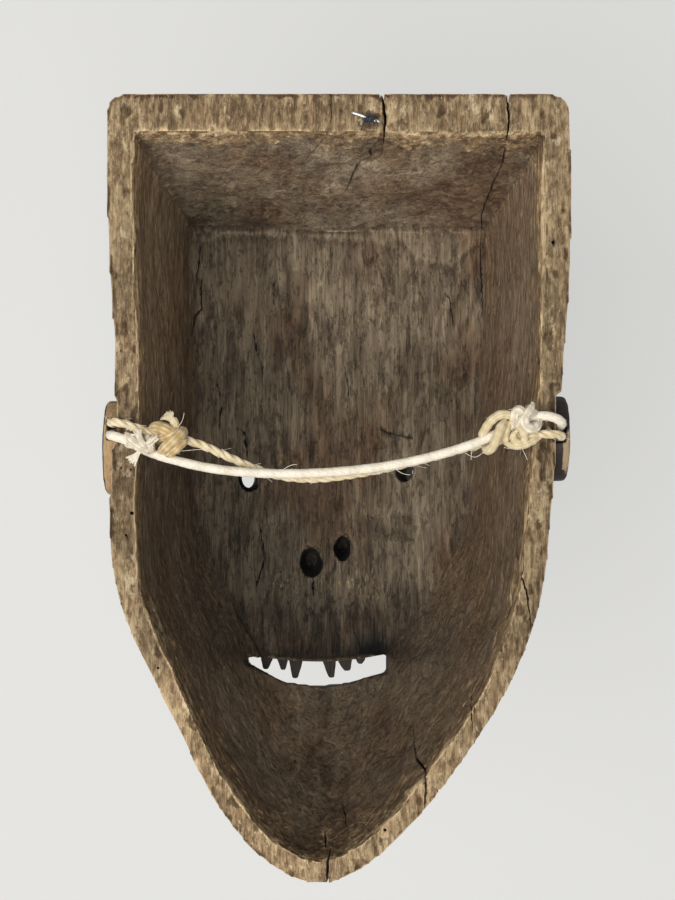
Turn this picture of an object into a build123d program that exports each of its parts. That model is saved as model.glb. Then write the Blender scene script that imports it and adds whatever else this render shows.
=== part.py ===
from build123d import *
import math
import os

# A carved wooden mask: one hollowed block of wood, two ears nailed to its sides, slips of wood
# set as teeth in the upper lip, two head cords with their knots, and a hanging staple.
#
# All lengths are in millimetres. +Z is up and the face looks along -Y. The flat back of the
# rim lies in the plane Y = 0. The origin is the middle of the hanging staple, on that plane.
# Most places are given as (side, down) on the rim: side is the distance from the mask's
# middle, positive towards its left ear, and down is the distance below its top. Depth is the
# distance in front of the rim's back plane.

# ---------------------------------------------------------------- driving dimensions
middle_x = 9.4  # the mask's middle, to one side of the staple
top_z = 8.7  # the mask's top, above the staple
head_height = 281.0
head_half_width = 82.8
chin_side = 7.6  # the chin leans to one side of the mask's middle

rim_side = 9.5  # width of the rim at the sides
rim_top = 14.0  # width of the rim at the top
rim_chin = 9.0  # width of the rim at the chin
hollow_depth = 80.0
wall_slant = 12.0  # how far the side walls lean in from the rim to the floor
top_slant = 21.0  # how far the top wall leans in
chin_slope = 46.0  # how far the bowl at the chin climbs from the floor to the rim
floor_thickness = 15.0
bowl_power = 0.8  # how sharply the bowl at the chin turns into the floor

corner_radius = 6.8  # the block's two top corners, at the rim
crown_side = 56.0  # how far the rounded front turns in at the sides
crown_top = 60.0
crown_chin = 105.0
crown_corner = 14.0
side_squareness = 4.0  # how square the front edge is: a higher number is squarer
chin_squareness = 3.4

eye_side_left = 36.5
eye_side_right = -24.9
eye_down_left = 138.0
eye_down_right = 134.3
eye_front_down = 138.4  # both eyes come out at one height in the carved face
eye_hole_width = 7.6
eye_hole_height = 9.6
eye_front_height = 9.0
eye_front_width_left = 4.8
eye_front_width_right = 4.0
eye_slant_left = 3.1  # how far each eye hole drifts sideways on its way to the front
eye_slant_right = -11.2

feature_root_margin = 4.0  # nose, lips, brows and lids start this far in front of the floor
nose_side = 5.2
nose_bridge_down = 124.0
nose_blend = 6.0  # the bridge starts this far above its lowest place
bridge_height = 3.0
bridge_half_width = 7.0
wing_height = 10.0
nose_tip_down = 168.0
nose_base_down = 180.0
nose_height = 17.0  # how far the tip stands in front of the face
nose_half_width = 17.0
nose_wing_drop = 6.0  # the underside of the nose starts this far below its tip
nostril_spacing = 13.0
nostril_down = 170.3
nostril_lean = 3.0  # the left nostril is cut this much lower, and the right one higher
nostril_width = 8.8
nostril_height = 13.0
nostril_uneven = 0.6
nostril_pit_depth = 9.0  # how far the wide part of a nostril goes into the wood
nostril_narrowing = 0.55  # the wide part's width at its foot, as a share of its mouth's
nostril_bore_radius = 1.9
nostril_bore_rise = 2.2  # the bore starts this far above the middle of the wide part

brow_down = 117.0
brow_height = 4.0  # how far the brows stand in front of the face
brow_start = 9.0  # from the nose's middle to a brow's inner end
brow_length = 46.0
brow_rise = 10.0
brow_fall = 3.0
brow_thickness = 8.5
eyelid_half_width = 15.0
eyelid_half_height = 8.5
eyelid_height = 3.0

mouth_left = 38.4
mouth_right = -19.9
mouth_top_down = 213.4
mouth_arch_down = 214.3  # the upper edge sags this low in the middle of the mouth
mouth_corner_down = 211.0
mouth_middle = 9.9  # the lowest place of the lower lip
mouth_low_down = 228.2
mouth_left_share = 0.40  # the mouth's ends are cut off at these shares of its drop
mouth_right_share = 0.63
mouth_back_depth = 56.0
mouth_front_depth = 100.0  # the mouth has its full height this far in front of the rim
mouth_slope = 0.19  # how much its lower edge sinks with depth
mouth_end_lift = 0.45  # how much more than that it sinks at the mouth's ends
lip_height = 1.5  # how far the lips stand in front of the face's deepest place
lip_width = 8.5
lip_peak = 9.0  # each peak of the upper lip is this far from the mouth's middle
lip_dip = 2.0

tooth_depth = 87.0  # depth of the middle of the row of teeth
tooth_thickness = 2.8
tooth_tip_share = 0.20  # half the width of a tooth's tip, as a share of its width
tooth_tip_rounding = 0.18
tooth_root = 7.0  # length of a tooth's root inside the lip
tooth_fit = 0.1  # clearance all round a root in its socket
socket_overrun = 1.0  # the sockets and full width of the teeth reach this far below the lip

ear_back_depth = 2.5  # depth of an ear's back edge
ear_length = 27.0  # from an ear's back edge to its front edge
ear_thickness = 5.7
ear_edge_radius = 1.5
left_ear_down = 126.0
left_ear_height = 34.6
right_ear_down = 122.5
right_ear_height = 31.0
left_seat_inset = 3.5  # the flat seat for the left ear is cut this far into the head's half width
right_seat_inset = 5.8
seat_margin = 0.8
seat_depth = 42.0
left_lip_depth = 2.0  # the rim reaches past the left ear below its cords, and is this deep there
left_lip_margin = 1.2  # the notch for the cords ends this far below the left cord channel
channel_width = 4.2  # cord channel between an ear and its seat
channel_height = 8.4
left_channel_down = 119.1
right_channel_down = 120.0

nail_radius = 0.8
nail_length = 12.5
nail_head_radius = 1.7
nail_head_thickness = 0.7
nail_fit = 0.05
nail_edge = 3.0  # distance of an ear's upper nail above its cord channel
nail_drop = 8.5  # distance of an ear's lower nail below the ear's middle

wire_radius = 0.6
staple_half_span = 5.2
staple_drop = 1.8  # each end of the bar is this far above or below the staple's middle
staple_leg = 8.0
staple_bar_height = 0.9  # height of the bar's middle line above the rim
staple_bend = 1.2
staple_fit = 0.05
thread_radius = 2.3
thread_length = 4.4
thread_offset = -1.4  # the thread knot's place along the bar, from the bar's middle
notch_length = 7.0
notch_width = 6.0
notch_depth = 1.8

crack_depth = 11.0
crack_overrun = 2.0  # each crack starts this far outside the block
crack_reach = 4.0  # and ends this far inside the hollow
middle_crack_side = -15.1
middle_crack_bend_down = 9.4  # where the crack turns, and how far it has drifted there
middle_crack_bend = -1.1
side_crack_side = -59.8
side_crack_bend_down = 8.7
side_crack_bend = -0.4
crack_drift = 0.5
chin_crack_offset = 2.5
chin_crack_drift = 1.0
middle_crack_width = 1.4
side_crack_width = 0.9
chin_crack_width = 0.7

white_diameter = 3.6
twisted_diameter = 3.1
stopper_radius = 4.4

os.makedirs("parts", exist_ok=True)


# ---------------------------------------------------------------- planes and outlines
def rim_plane(depth):
    """A plane across the mask at one depth. Its own coordinates are (side, down)."""
    return Plane(origin=(middle_x, -depth, top_z), x_dir=(1, 0, 0), z_dir=(0, 1, 0))


def side_plane(side):
    """A plane from front to back at one side distance. Its own coordinates are (depth, down)."""
    return Plane(origin=(middle_x + side, 0, top_z), x_dir=(0, -1, 0), z_dir=(1, 0, 0))


def place(side, depth, down):
    """The point of the model's frame at a side distance, a depth and a distance down."""
    return Vector(middle_x + side, -depth, top_z - down)


# The head's outline as shares of its half width and height, from each top corner to the chin.
left_profile = [
    (1.000, 0.000),
    (1.004, 0.080),
    (0.990, 0.220),
    (0.966, 0.385),
    (0.990, 0.545),
    (0.945, 0.645),
    (0.757, 0.767),
    (0.540, 0.893),
    (0.330, 0.968),
]
right_profile = [
    (0.988, 0.000),
    (0.998, 0.080),
    (0.992, 0.230),
    (0.955, 0.385),
    (0.910, 0.535),
    (0.868, 0.640),
    (0.700, 0.767),
    (0.404, 0.893),
    (0.157, 0.968),
]


def inset_point(share_wide, share_down, side_in, top_in, chin_in):
    """A point of the head's outline, moved in by the three insets."""
    down = head_height * share_down
    axis = chin_side * share_down
    side = axis + (head_half_width * share_wide - axis) * (1 - side_in / head_half_width)
    return side, top_in + down * (1 - (top_in + chin_in) / head_height)


def head_section(depth, side_in, top_in, chin_in, corner=0.0):
    """A face across the head at one depth: its outline, moved in by the three insets."""
    left = [inset_point(w, d, side_in, top_in, chin_in) for w, d in left_profile]
    right = [inset_point(-w, d, side_in, top_in, chin_in) for w, d in right_profile]
    chin = inset_point(chin_side / head_half_width, 1.0, side_in, top_in, chin_in)
    with BuildSketch(rim_plane(depth)) as section:
        with BuildLine():
            Spline(*left, chin, *reversed(right))
            Line(right[0], left[0])
        make_face()
        if corner:
            fillet(section.vertices().sort_by(Axis.Y)[:2], corner)
    return section.sketch


def bow(share, squareness):
    """How far a rounded front edge has turned in, from 0 at the rim to 1 at the front."""
    return 1 - (1 - share**squareness) ** (1 / squareness)


# ---------------------------------------------------------------- nose
face_depth = hollow_depth + floor_thickness
feature_root = hollow_depth + feature_root_margin  # where nose, lips, brows and lids start
nose_top_down = nose_bridge_down - nose_blend
tip_depth = face_depth + nose_height

with BuildPart() as nose:
    with BuildSketch(side_plane(nose_side)):
        with BuildLine():
            Polyline(
                (feature_root, nose_top_down),
                (face_depth + bridge_height - 1, nose_top_down),
                (face_depth + bridge_height, nose_bridge_down + nose_blend),
                (tip_depth, nose_tip_down - 2),
                (tip_depth - 1.5, nose_tip_down + nose_wing_drop),
                (face_depth + bridge_height, nose_base_down),
                (feature_root, nose_base_down),
                close=True,
            )
        make_face()
    extrude(amount=nose_half_width, both=True)
    with BuildSketch(rim_plane(0)):
        with BuildLine():
            right_side = [
                (nose_side - bridge_half_width, nose_top_down - 2),
                (nose_side - bridge_half_width - 1, nose_bridge_down + 2 * nose_blend),
                (nose_side - nose_half_width, nose_base_down - wing_height),
                (nose_side - nose_half_width, nose_base_down + 2),
            ]
            left_side = [(2 * nose_side - side, down) for side, down in reversed(right_side)]
            Polyline(*right_side, *left_side, close=True)
        make_face()
    extrude(amount=-2 * face_depth, mode=Mode.INTERSECT)

# ---------------------------------------------------------------- outer form and hollow
outer_shares = (0.0, 0.3, 0.52, 0.7, 0.83, 0.92, 0.975, 1.0)
outer_sections = [
    head_section(
        share * face_depth,
        crown_side * bow(share, side_squareness),
        crown_top * bow(share, side_squareness),
        crown_chin * bow(share, chin_squareness),
        corner_radius + crown_corner * bow(share, side_squareness),
    )
    for share in outer_shares
]
# The hollow's walls lean in steadily, and its chin end curves like a bowl. It starts a
# little behind the rim's back plane, so that its mouth is open.
hollow_shares = (-0.02, 0.3, 0.6, 0.85, 1.0)
hollow_sections = [
    head_section(
        share * hollow_depth,
        rim_side + share * wall_slant,
        rim_top + share * top_slant,
        rim_chin + share * abs(share) ** bowl_power * chin_slope,
    )
    for share in hollow_shares
]

# ---------------------------------------------------------------- lips, brows and eyelids
with BuildPart() as lips:
    with BuildSketch(rim_plane(feature_root)):
        with BuildLine():
            left_end = (mouth_left + lip_width, mouth_corner_down)
            right_end = (mouth_right - lip_width, mouth_corner_down)
            Spline(left_end, (mouth_middle, mouth_low_down + lip_width), right_end)
            Spline(
                right_end,
                (mouth_middle - lip_peak, mouth_top_down - lip_width),
                (mouth_middle, mouth_top_down - lip_width + lip_dip),
                (mouth_middle + lip_peak, mouth_top_down - lip_width),
                left_end,
            )
        make_face()
    extrude(amount=-(face_depth + lip_height - feature_root))


def leaf_block(inner_end, outer_end, upper, lower, height):
    """A raised leaf-shaped block on the face, between two ends, its upper and lower arcs given."""
    middle_side = (inner_end[0] + outer_end[0]) / 2
    with BuildPart() as block:
        with BuildSketch(rim_plane(feature_root)):
            with BuildLine():
                ThreePointArc(inner_end, (middle_side, upper), outer_end)
                ThreePointArc(outer_end, (middle_side, lower), inner_end)
            make_face()
        extrude(amount=-(face_depth + height - feature_root))
    return block.part


brows = [
    leaf_block(
        (nose_side + way * brow_start, brow_down),
        (nose_side + way * (brow_start + brow_length), brow_down + brow_fall),
        brow_down - brow_rise,
        brow_down - brow_rise + brow_thickness,
        brow_height,
    )
    for way in (-1, 1)
]
eyes = (
    (eye_side_left, eye_down_left, eye_slant_left, eye_front_width_left),
    (eye_side_right, eye_down_right, eye_slant_right, eye_front_width_right),
)
eyelids = [
    leaf_block(
        (eye_side + slant - eyelid_half_width, eye_front_down),
        (eye_side + slant + eyelid_half_width, eye_front_down),
        eye_front_down - eyelid_half_height,
        eye_front_down + eyelid_half_height,
        eyelid_height,
    )
    for eye_side, eye_down, slant, front_width in eyes
]

# ---------------------------------------------------------------- holes through the block
# Each hole is cut a little way past the wood at both of its ends.
with BuildPart() as eye_holes:
    for eye_side, eye_down, slant, front_width in eyes:
        with BuildSketch(rim_plane(hollow_depth - 4)):
            with Locations((eye_side, eye_down)):
                Ellipse(eye_hole_width / 2, eye_hole_height / 2)
        with BuildSketch(rim_plane(face_depth + eyelid_height + 5)):
            with Locations((eye_side + slant, eye_front_down)):
                Ellipse(front_width / 2, eye_front_height / 2)
        loft()

# A nostril is a wide pit in the floor of the hollow, and a narrow bore from the pit's foot that
# slopes down to the underside of the nose, so it can't be seen through.
with BuildPart() as nostrils:
    for way in (-1, 1):
        nostril_side = nose_side + way * nostril_spacing / 2
        pit_down = nostril_down + way * nostril_lean
        half_width = nostril_width / 2 + way * nostril_uneven
        half_height = nostril_height / 2 + way * nostril_uneven
        with BuildSketch(rim_plane(hollow_depth - 2)):
            with Locations((nostril_side, pit_down)):
                Ellipse(half_width, half_height)
        with BuildSketch(rim_plane(hollow_depth + nostril_pit_depth)):
            with Locations((nostril_side, pit_down - nostril_bore_rise / 2)):
                Ellipse(half_width * nostril_narrowing, half_height * nostril_narrowing)
        loft()
        bore_start = place(
            nostril_side, hollow_depth + nostril_pit_depth - 3, pit_down - nostril_bore_rise
        )
        bore_end = place(nostril_side, face_depth + 0.65 * nose_height, nose_base_down + 1.5)
        with BuildSketch(Plane(origin=bore_start, z_dir=bore_end - bore_start)):
            Circle(nostril_bore_radius)
        extrude(amount=(bore_end - bore_start).length)

# The floor of the mouth slopes down towards the front, so its edge is a thin lip in the hollow.
with BuildPart() as mouth:
    mouth_half = (mouth_left - mouth_right) / 2
    for depth in (mouth_back_depth, 1.4 * face_depth):
        drop = mouth_low_down - mouth_corner_down
        growth = 1 + mouth_slope * (depth - mouth_front_depth) / drop

        def below_corner(share):
            """How far down the outline is at a share of the lower lip's drop."""
            lifted = mouth_end_lift * (1 - share) * (1 - growth)
            return mouth_corner_down + (growth * share - lifted) * drop

        with BuildSketch(rim_plane(depth)):
            with BuildLine():
                Line(
                    (mouth_left, mouth_corner_down), (mouth_left, below_corner(mouth_left_share))
                )
                Spline(
                    (mouth_left, below_corner(mouth_left_share)),
                    (mouth_left - 0.14 * mouth_half, below_corner(0.525)),
                    (mouth_middle + 0.45 * mouth_half, below_corner(0.88)),
                    (mouth_middle, below_corner(1.0)),
                    (mouth_middle - 0.38 * mouth_half, below_corner(0.94)),
                    (mouth_right + 0.22 * mouth_half, below_corner(0.725)),
                    (mouth_right, below_corner(mouth_right_share)),
                )
                Line(
                    (mouth_right, below_corner(mouth_right_share)), (mouth_right, mouth_corner_down)
                )
                ThreePointArc(
                    (mouth_right, mouth_corner_down),
                    (mouth_middle, mouth_arch_down),
                    (mouth_left, mouth_corner_down),
                )
            make_face()
    loft()

# The teeth: side distance of the middle, width, length below the lip, and lean of the tip.
teeth = [
    (30.3, 5.0, 4.9, 0.5),
    (23.7, 4.6, 5.3, -0.3),
    (18.1, 5.9, 8.8, 0.4),
    (4.3, 5.9, 8.6, -1.2),
    (-2.4, 6.3, 5.7, -1.0),
    (-8.9, 3.8, 2.8, 0.2),
]
root_down = mouth_top_down - tooth_root

with BuildPart() as tooth_sockets:
    for side, width, length, lean in teeth:
        socket_height = tooth_root + socket_overrun + tooth_fit
        with BuildSketch(rim_plane(tooth_depth - tooth_thickness / 2 - tooth_fit)):
            with Locations((side, root_down - tooth_fit + socket_height / 2)):
                Rectangle(width + 2 * tooth_fit, socket_height)
    extrude(amount=-(tooth_thickness + 2 * tooth_fit))

# ---------------------------------------------------------------- ears, their seats and nails
left_seat_side = head_half_width - left_seat_inset
right_seat_side = right_seat_inset - head_half_width
ears = {
    "left_ear": (1, left_seat_side, left_ear_down, left_ear_height, left_channel_down),
    "right_ear": (-1, right_seat_side, right_ear_down, right_ear_height, right_channel_down),
}
ear_depth = ear_back_depth + ear_length / 2


def nail_places(ear_down, channel_down):
    """Where an ear's two nails stand, one above the cord channel and one below: (depth, down)."""
    upper = channel_down - channel_height / 2 - nail_edge
    return [(ear_depth, upper), (ear_depth, ear_down + nail_drop)]


with BuildPart() as ear_seats:
    for way, seat_side, ear_down, ear_height, channel_down in ears.values():
        with BuildSketch(side_plane(seat_side)):
            with Locations((seat_depth / 2 - 1, ear_down)):
                Rectangle(seat_depth + 2, ear_height + 2 * seat_margin)
        extrude(amount=way * 3 * ear_thickness)
    lip_top = left_channel_down + channel_height / 2 + left_lip_margin
    with BuildSketch(side_plane(left_seat_side - 1)):
        with Locations((left_lip_depth / 2 - 1, lip_top + left_ear_height / 2)):
            Rectangle(left_lip_depth + 2, left_ear_height)
    extrude(amount=4 * ear_thickness, mode=Mode.SUBTRACT)

with BuildPart() as nail_holes:
    for way, seat_side, ear_down, ear_height, channel_down in ears.values():
        with BuildSketch(side_plane(seat_side + way)):
            with Locations(*nail_places(ear_down, channel_down)):
                Circle(nail_radius + nail_fit)
        extrude(amount=-way * (nail_length - ear_thickness + 1 + nail_fit))

# ---------------------------------------------------------------- staple room and cracks
bar_half = Vector(staple_half_span, 0, staple_drop)
bar_way = bar_half.normalized()
rim_at_staple = Plane(origin=(0, 0, 0), x_dir=bar_way, z_dir=(0, 1, 0))

with BuildPart() as staple_room:
    with BuildSketch(rim_at_staple.offset(1)):
        with Locations((-bar_half.length, 0), (bar_half.length, 0)):
            Circle(wire_radius + staple_fit)
    extrude(amount=-(staple_leg + 1 + staple_fit))
    with BuildSketch(rim_at_staple.offset(1)):
        with Locations((thread_offset, 0)):
            Rectangle(notch_length, notch_width)
    extrude(amount=-(notch_depth + 1))


def crack_slit(route, width):
    """A thin slit along a route on the rim, cut from the back into the wood."""
    with BuildPart() as slit:
        with BuildSketch(rim_plane(-1)):
            with BuildLine():
                ahead = [(side - width / 2, down) for side, down in route]
                back = [(side + width / 2, down) for side, down in reversed(route)]
                Polyline(*ahead, *back, close=True)
            make_face()
        extrude(amount=-(crack_depth + 1))
    return slit.part


# Each crack starts outside the block and ends inside the hollow.
crack_end_down = rim_top + crack_reach
middle_crack = crack_slit(
    [
        (middle_crack_side, -crack_overrun),
        (middle_crack_side + middle_crack_bend, middle_crack_bend_down),
        (middle_crack_side + crack_drift, crack_end_down),
    ],
    middle_crack_width,
)
side_crack = crack_slit(
    [
        (side_crack_side, -crack_overrun),
        (side_crack_side + side_crack_bend, side_crack_bend_down),
        (side_crack_side + crack_drift, crack_end_down),
    ],
    side_crack_width,
)
chin_crack = crack_slit(
    [
        (chin_side - chin_crack_offset, head_height - rim_chin - crack_reach),
        (chin_side - chin_crack_offset - chin_crack_drift, head_height + crack_overrun),
    ],
    chin_crack_width,
)

# ---------------------------------------------------------------- the block
with BuildPart() as mask_shell:
    loft(outer_sections)
    add(nose.part)
    add(lips.part)
    for leaf in (*brows, *eyelids):
        add(leaf)
    loft(hollow_sections, mode=Mode.SUBTRACT)
    add(eye_holes.part, mode=Mode.SUBTRACT)
    add(nostrils.part, mode=Mode.SUBTRACT)
    add(mouth.part, mode=Mode.SUBTRACT)
    add(tooth_sockets.part, mode=Mode.SUBTRACT)
    add(ear_seats.part, mode=Mode.SUBTRACT)
    add(nail_holes.part, mode=Mode.SUBTRACT)
    add(staple_room.part, mode=Mode.SUBTRACT)
    for crack in (middle_crack, side_crack, chin_crack):
        add(crack, mode=Mode.SUBTRACT)
mask_shell.part.label = "mask_shell"
export_step(mask_shell.part, "parts/mask_shell.step")

# ---------------------------------------------------------------- ears
for name, (way, seat_side, ear_down, ear_height, channel_down) in ears.items():
    with BuildPart() as ear:
        with BuildSketch(side_plane(seat_side)):
            with Locations((ear_depth, ear_down)):
                Ellipse(ear_length / 2, ear_height / 2)
        extrude(amount=way * ear_thickness)
        outer_face = ear.faces().sort_by(Axis.X)[-1 if way > 0 else 0]
        fillet(outer_face.edges(), ear_edge_radius)
        with BuildSketch(side_plane(seat_side)):
            with Locations((ear_depth, channel_down)):
                Rectangle(2 * ear_length, channel_height)
        extrude(amount=way * channel_width, mode=Mode.SUBTRACT)
        with BuildSketch(side_plane(seat_side)):
            with Locations(*nail_places(ear_down, channel_down)):
                Circle(nail_radius + nail_fit)
        extrude(amount=way * ear_thickness, mode=Mode.SUBTRACT)
    ear.part.label = name
    export_step(ear.part, f"parts/{name}.step")

# ---------------------------------------------------------------- ear nails
with BuildPart() as ear_nails:
    for way, seat_side, ear_down, ear_height, channel_down in ears.values():
        outer_plane = side_plane(seat_side + way * ear_thickness)
        with BuildSketch(outer_plane):
            with Locations(*nail_places(ear_down, channel_down)):
                Circle(nail_radius)
        extrude(amount=-way * nail_length)
        with BuildSketch(outer_plane):
            with Locations(*nail_places(ear_down, channel_down)):
                Circle(nail_head_radius)
        extrude(amount=way * nail_head_thickness)
ear_nails.part.label = "ear_nails"
export_step(ear_nails.part, "parts/ear_nails.step")

# ---------------------------------------------------------------- teeth
for number, (side, width, length, lean) in enumerate(teeth, start=1):
    tip_down = mouth_top_down + length
    with BuildPart() as tooth:
        with BuildSketch(rim_plane(tooth_depth - tooth_thickness / 2)):
            with BuildLine():
                Polyline(
                    (side - width / 2, root_down),
                    (side + width / 2, root_down),
                    (side + width / 2, mouth_top_down + socket_overrun),
                    (side + lean + tooth_tip_share * width, tip_down),
                    (side + lean - tooth_tip_share * width, tip_down),
                    (side - width / 2, mouth_top_down + socket_overrun),
                    close=True,
                )
            make_face()
            fillet(vertices().sort_by(Axis.Y)[-2:], tooth_tip_rounding * width)
        extrude(amount=-tooth_thickness)
    tooth.part.label = f"tooth_{number}"
    export_step(tooth.part, f"parts/tooth_{number}.step")

# ---------------------------------------------------------------- hanging staple and its thread
with BuildPart() as hanging_staple:
    bar_rise = Vector(0, staple_bar_height, 0)
    leg_drop = Vector(0, -staple_leg, 0)
    with BuildLine() as wire:
        FilletPolyline(
            -bar_half + leg_drop,
            -bar_half + bar_rise,
            bar_half + bar_rise,
            bar_half + leg_drop,
            radius=staple_bend,
        )
    with BuildSketch(Plane(origin=wire.line @ 0, z_dir=wire.line % 0)):
        Circle(wire_radius)
    sweep()
hanging_staple.part.label = "hanging_staple"
export_step(hanging_staple.part, "parts/hanging_staple.step")

with BuildPart() as thread_knot:
    knot_start = bar_rise + bar_way * (thread_offset - thread_length / 2)
    thread_plane = Plane(origin=knot_start, z_dir=bar_way)
    with BuildSketch(thread_plane):
        Circle(thread_radius)
    extrude(amount=thread_length)
    fillet(thread_knot.edges(), thread_radius / 2.5)
    with BuildSketch(thread_plane):
        Circle(wire_radius + staple_fit)
    extrude(amount=thread_length, mode=Mode.SUBTRACT)
thread_knot.part.label = "thread_knot"
export_step(thread_knot.part, "parts/thread_knot.step")

# ---------------------------------------------------------------- head cords
# Each route is a list of (side, depth, down), chosen by hand. A depth below zero stands
# behind the rim. Both cords run from the stopper knot in front of the left ear, through the
# ear's channel, over the rim, across the hollow and out to the right ear in the same way.
white_route = [
    (83.2, 36.5, 120.9),
    (81.5, 30.0, 121.2),
    (81.3, 21.0, 121.0),
    (81.3, 11.5, 120.8),
    (81.3, 4.0, 121.2),
    (81.4, -1.8, 121.4),
    (78.7, -4.7, 121.8),
    (73.8, -3.9, 123.6),
    (68.6, -3.0, 126.9),
    (60.6, -2.6, 129.6),
    (46.3, -2.2, 133.2),
    (30.5, -1.9, 134.8),
    (14.0, -1.7, 135.1),
    (-3.0, -1.7, 134.1),
    (-20.0, -1.8, 131.9),
    (-36.0, -2.2, 128.2),
    (-50.0, -2.9, 123.6),
    (-59.5, -3.6, 118.7),
    (-66.0, -3.9, 115.4),
    (-72.0, -4.2, 114.3),
    (-76.4, -4.8, 115.4),
    (-79.0, -1.9, 117.2),
    (-79.0, 4.0, 118.1),
    (-78.95, 11.5, 118.3),
    (-79.0, 21.0, 118.1),
    (-79.0, 30.0, 118.0),
    (-80.8, 36.5, 118.1),
]
twisted_route = [
    (83.2, 36.5, 117.3),
    (81.4, 30.0, 117.0),
    (81.2, 21.0, 117.2),
    (81.2, 11.5, 117.3),
    (81.3, 4.0, 117.1),
    (81.3, -1.6, 116.7),
    (78.6, -4.4, 116.6),
    (73.8, -3.6, 118.0),
    (67.4, -2.9, 120.2),
    (60.4, -2.5, 122.3),
    (54.0, -1.8, 123.0),
    (46.7, -0.6, 125.6),
    (39.0, 1.0, 129.4),
    (30.0, 2.3, 133.4),
    (20.0, 2.5, 136.4),
    (8.0, 2.1, 137.5),
    (-6.0, 2.0, 136.5),
    (-21.0, 1.8, 134.3),
    (-36.5, 1.3, 130.6),
    (-49.0, 0.9, 126.8),
    (-58.5, 0.2, 123.4),
    (-65.5, -1.9, 121.6),
    (-71.6, -3.9, 121.0),
    (-76.3, -4.5, 121.1),
    (-79.0, -1.7, 121.7),
    (-79.1, 4.0, 121.9),
    (-79.0, 11.5, 122.1),
    (-79.0, 21.0, 121.9),
    (-79.1, 30.0, 121.8),
    (-80.8, 36.5, 121.7),
]


def cord_tube(route, diameter, name):
    """A round tube along a route of straight runs joined by the largest arcs that fit."""
    points = [place(*point) for point in route]
    radii = []
    for before, corner, after in zip(points, points[1:], points[2:]):
        turn = (corner - before).get_angle(after - corner)
        run = min((corner - before).length, (after - corner).length)
        radii.append(0.45 * run / math.tan(math.radians(turn / 2)))
    with BuildPart() as tube:
        with BuildLine() as path:
            FilletPolyline(*points, radius=radii)
        with BuildSketch(Plane(origin=path.line @ 0, z_dir=path.line % 0)):
            Circle(diameter / 2)
        sweep()
    length = path.wires()[0].length
    expected = math.pi * diameter**2 / 4 * length
    print(name, "length", round(length, 1), "volume share", round(tube.part.volume / expected, 4))
    print(name, "radii", [round(radius, 1) for radius in radii])
    return tube.part


for name, route, diameter in (
    ("white_cord", white_route, white_diameter),
    ("twisted_cord", twisted_route, twisted_diameter),
):
    cord = cord_tube(route, diameter, name)
    cord.label = name
    export_step(cord, f"parts/{name}.step")

# Knots: the balls that each is made of, as (side, depth, down, radius).
knots = {
    "left_knot": [(60.4, -3.4, 122.9, 5.3)],
    "left_frayed_knot": [(70.2, -4.9, 126.6, 4.2), (72.6, -4.4, 131.0, 2.6)],
    "left_tassel": [(61.5, -5.2, 116.2, 2.9), (63.2, -5.4, 113.4, 2.6)],
    "right_white_knot": [(-66.4, -4.4, 114.8, 4.9)],
    "right_twisted_knot": [(-56.2, -3.0, 118.6, 5.0), (-60.8, -2.8, 122.4, 3.4)],
    "left_stopper_knot": [(84.0, 36.6, 119.1, stopper_radius)],
    "right_stopper_knot": [(-81.7, 36.6, 119.9, stopper_radius)],
}
for name, balls in knots.items():
    with BuildPart() as knot:
        for side, depth, down, radius in balls:
            with Locations(place(side, depth, down)):
                Sphere(radius)
    knot.part.label = name
    export_step(knot.part, f"parts/{name}.step")
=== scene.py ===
import functools
import itertools
import math

import bmesh
import bpy
import numpy as np
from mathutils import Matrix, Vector
from mathutils.bvhtree import BVHTree
from mathutils.kdtree import KDTree


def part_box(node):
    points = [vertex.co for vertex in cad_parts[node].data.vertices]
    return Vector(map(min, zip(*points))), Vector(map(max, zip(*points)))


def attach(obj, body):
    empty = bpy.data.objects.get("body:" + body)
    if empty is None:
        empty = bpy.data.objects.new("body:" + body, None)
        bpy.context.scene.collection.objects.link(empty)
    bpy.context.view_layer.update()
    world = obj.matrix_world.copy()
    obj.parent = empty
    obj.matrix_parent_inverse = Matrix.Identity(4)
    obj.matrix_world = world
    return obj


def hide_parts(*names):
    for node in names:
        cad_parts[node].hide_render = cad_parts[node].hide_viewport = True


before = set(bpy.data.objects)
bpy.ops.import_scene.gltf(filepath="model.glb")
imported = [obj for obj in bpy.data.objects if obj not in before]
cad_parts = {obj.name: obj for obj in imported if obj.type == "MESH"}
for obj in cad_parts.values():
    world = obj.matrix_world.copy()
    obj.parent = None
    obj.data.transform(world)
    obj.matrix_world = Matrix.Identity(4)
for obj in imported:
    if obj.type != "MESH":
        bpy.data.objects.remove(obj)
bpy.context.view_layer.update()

bl_info = {
    "name": "Carved wooden mask",
    "version": (1, 0, 0),
    "blender": (4, 5, 0),
    "location": "View3D > Sidebar > Mask",
    "description": "Builds a worn wooden mask with its ears, teeth, head cords and hanging staple",
    "category": "Add Mesh",
}

# ---------------------------------------------------------------- places
# Lengths are in metres, and marks on the wood are in millimetres. +Z is up and the face looks
# along -Y. Places are given as (side, depth, down): the distance from the mask's middle towards
# its left ear, in front of the rim's back plane, and below the mask's top.
MM = 0.001
BLOCK_LOW, BLOCK_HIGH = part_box("mask_shell")
TOP_Z = BLOCK_HIGH.z
MIDDLE_X = 0.0094

# The viewpoint straight behind the hollow. Marks in the hollow are placed as they are seen from
# here, by the (side, down) at which the line of sight crosses the rim's plane.
VIEW_DISTANCE, VIEW_SIDE, VIEW_DOWN = 480.0, 0.7, 126.6
PAPER_GAP = 240.0  # from the front of the nose to the backdrop
USUAL_DETAIL = 0.00095  # the size of the block's facets, which its softening is tuned to
BLOCK_TRIANGLES = 176000  # before the slits and cracks are cut


def place(side, depth, down):
    """The point of the frame at a side distance, a depth and a distance down, in metres."""
    return Vector((MIDDLE_X + side, -depth, TOP_Z - down))


def place_mm(side, depth, down):
    return place(side * MM, depth * MM, down * MM)


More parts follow.
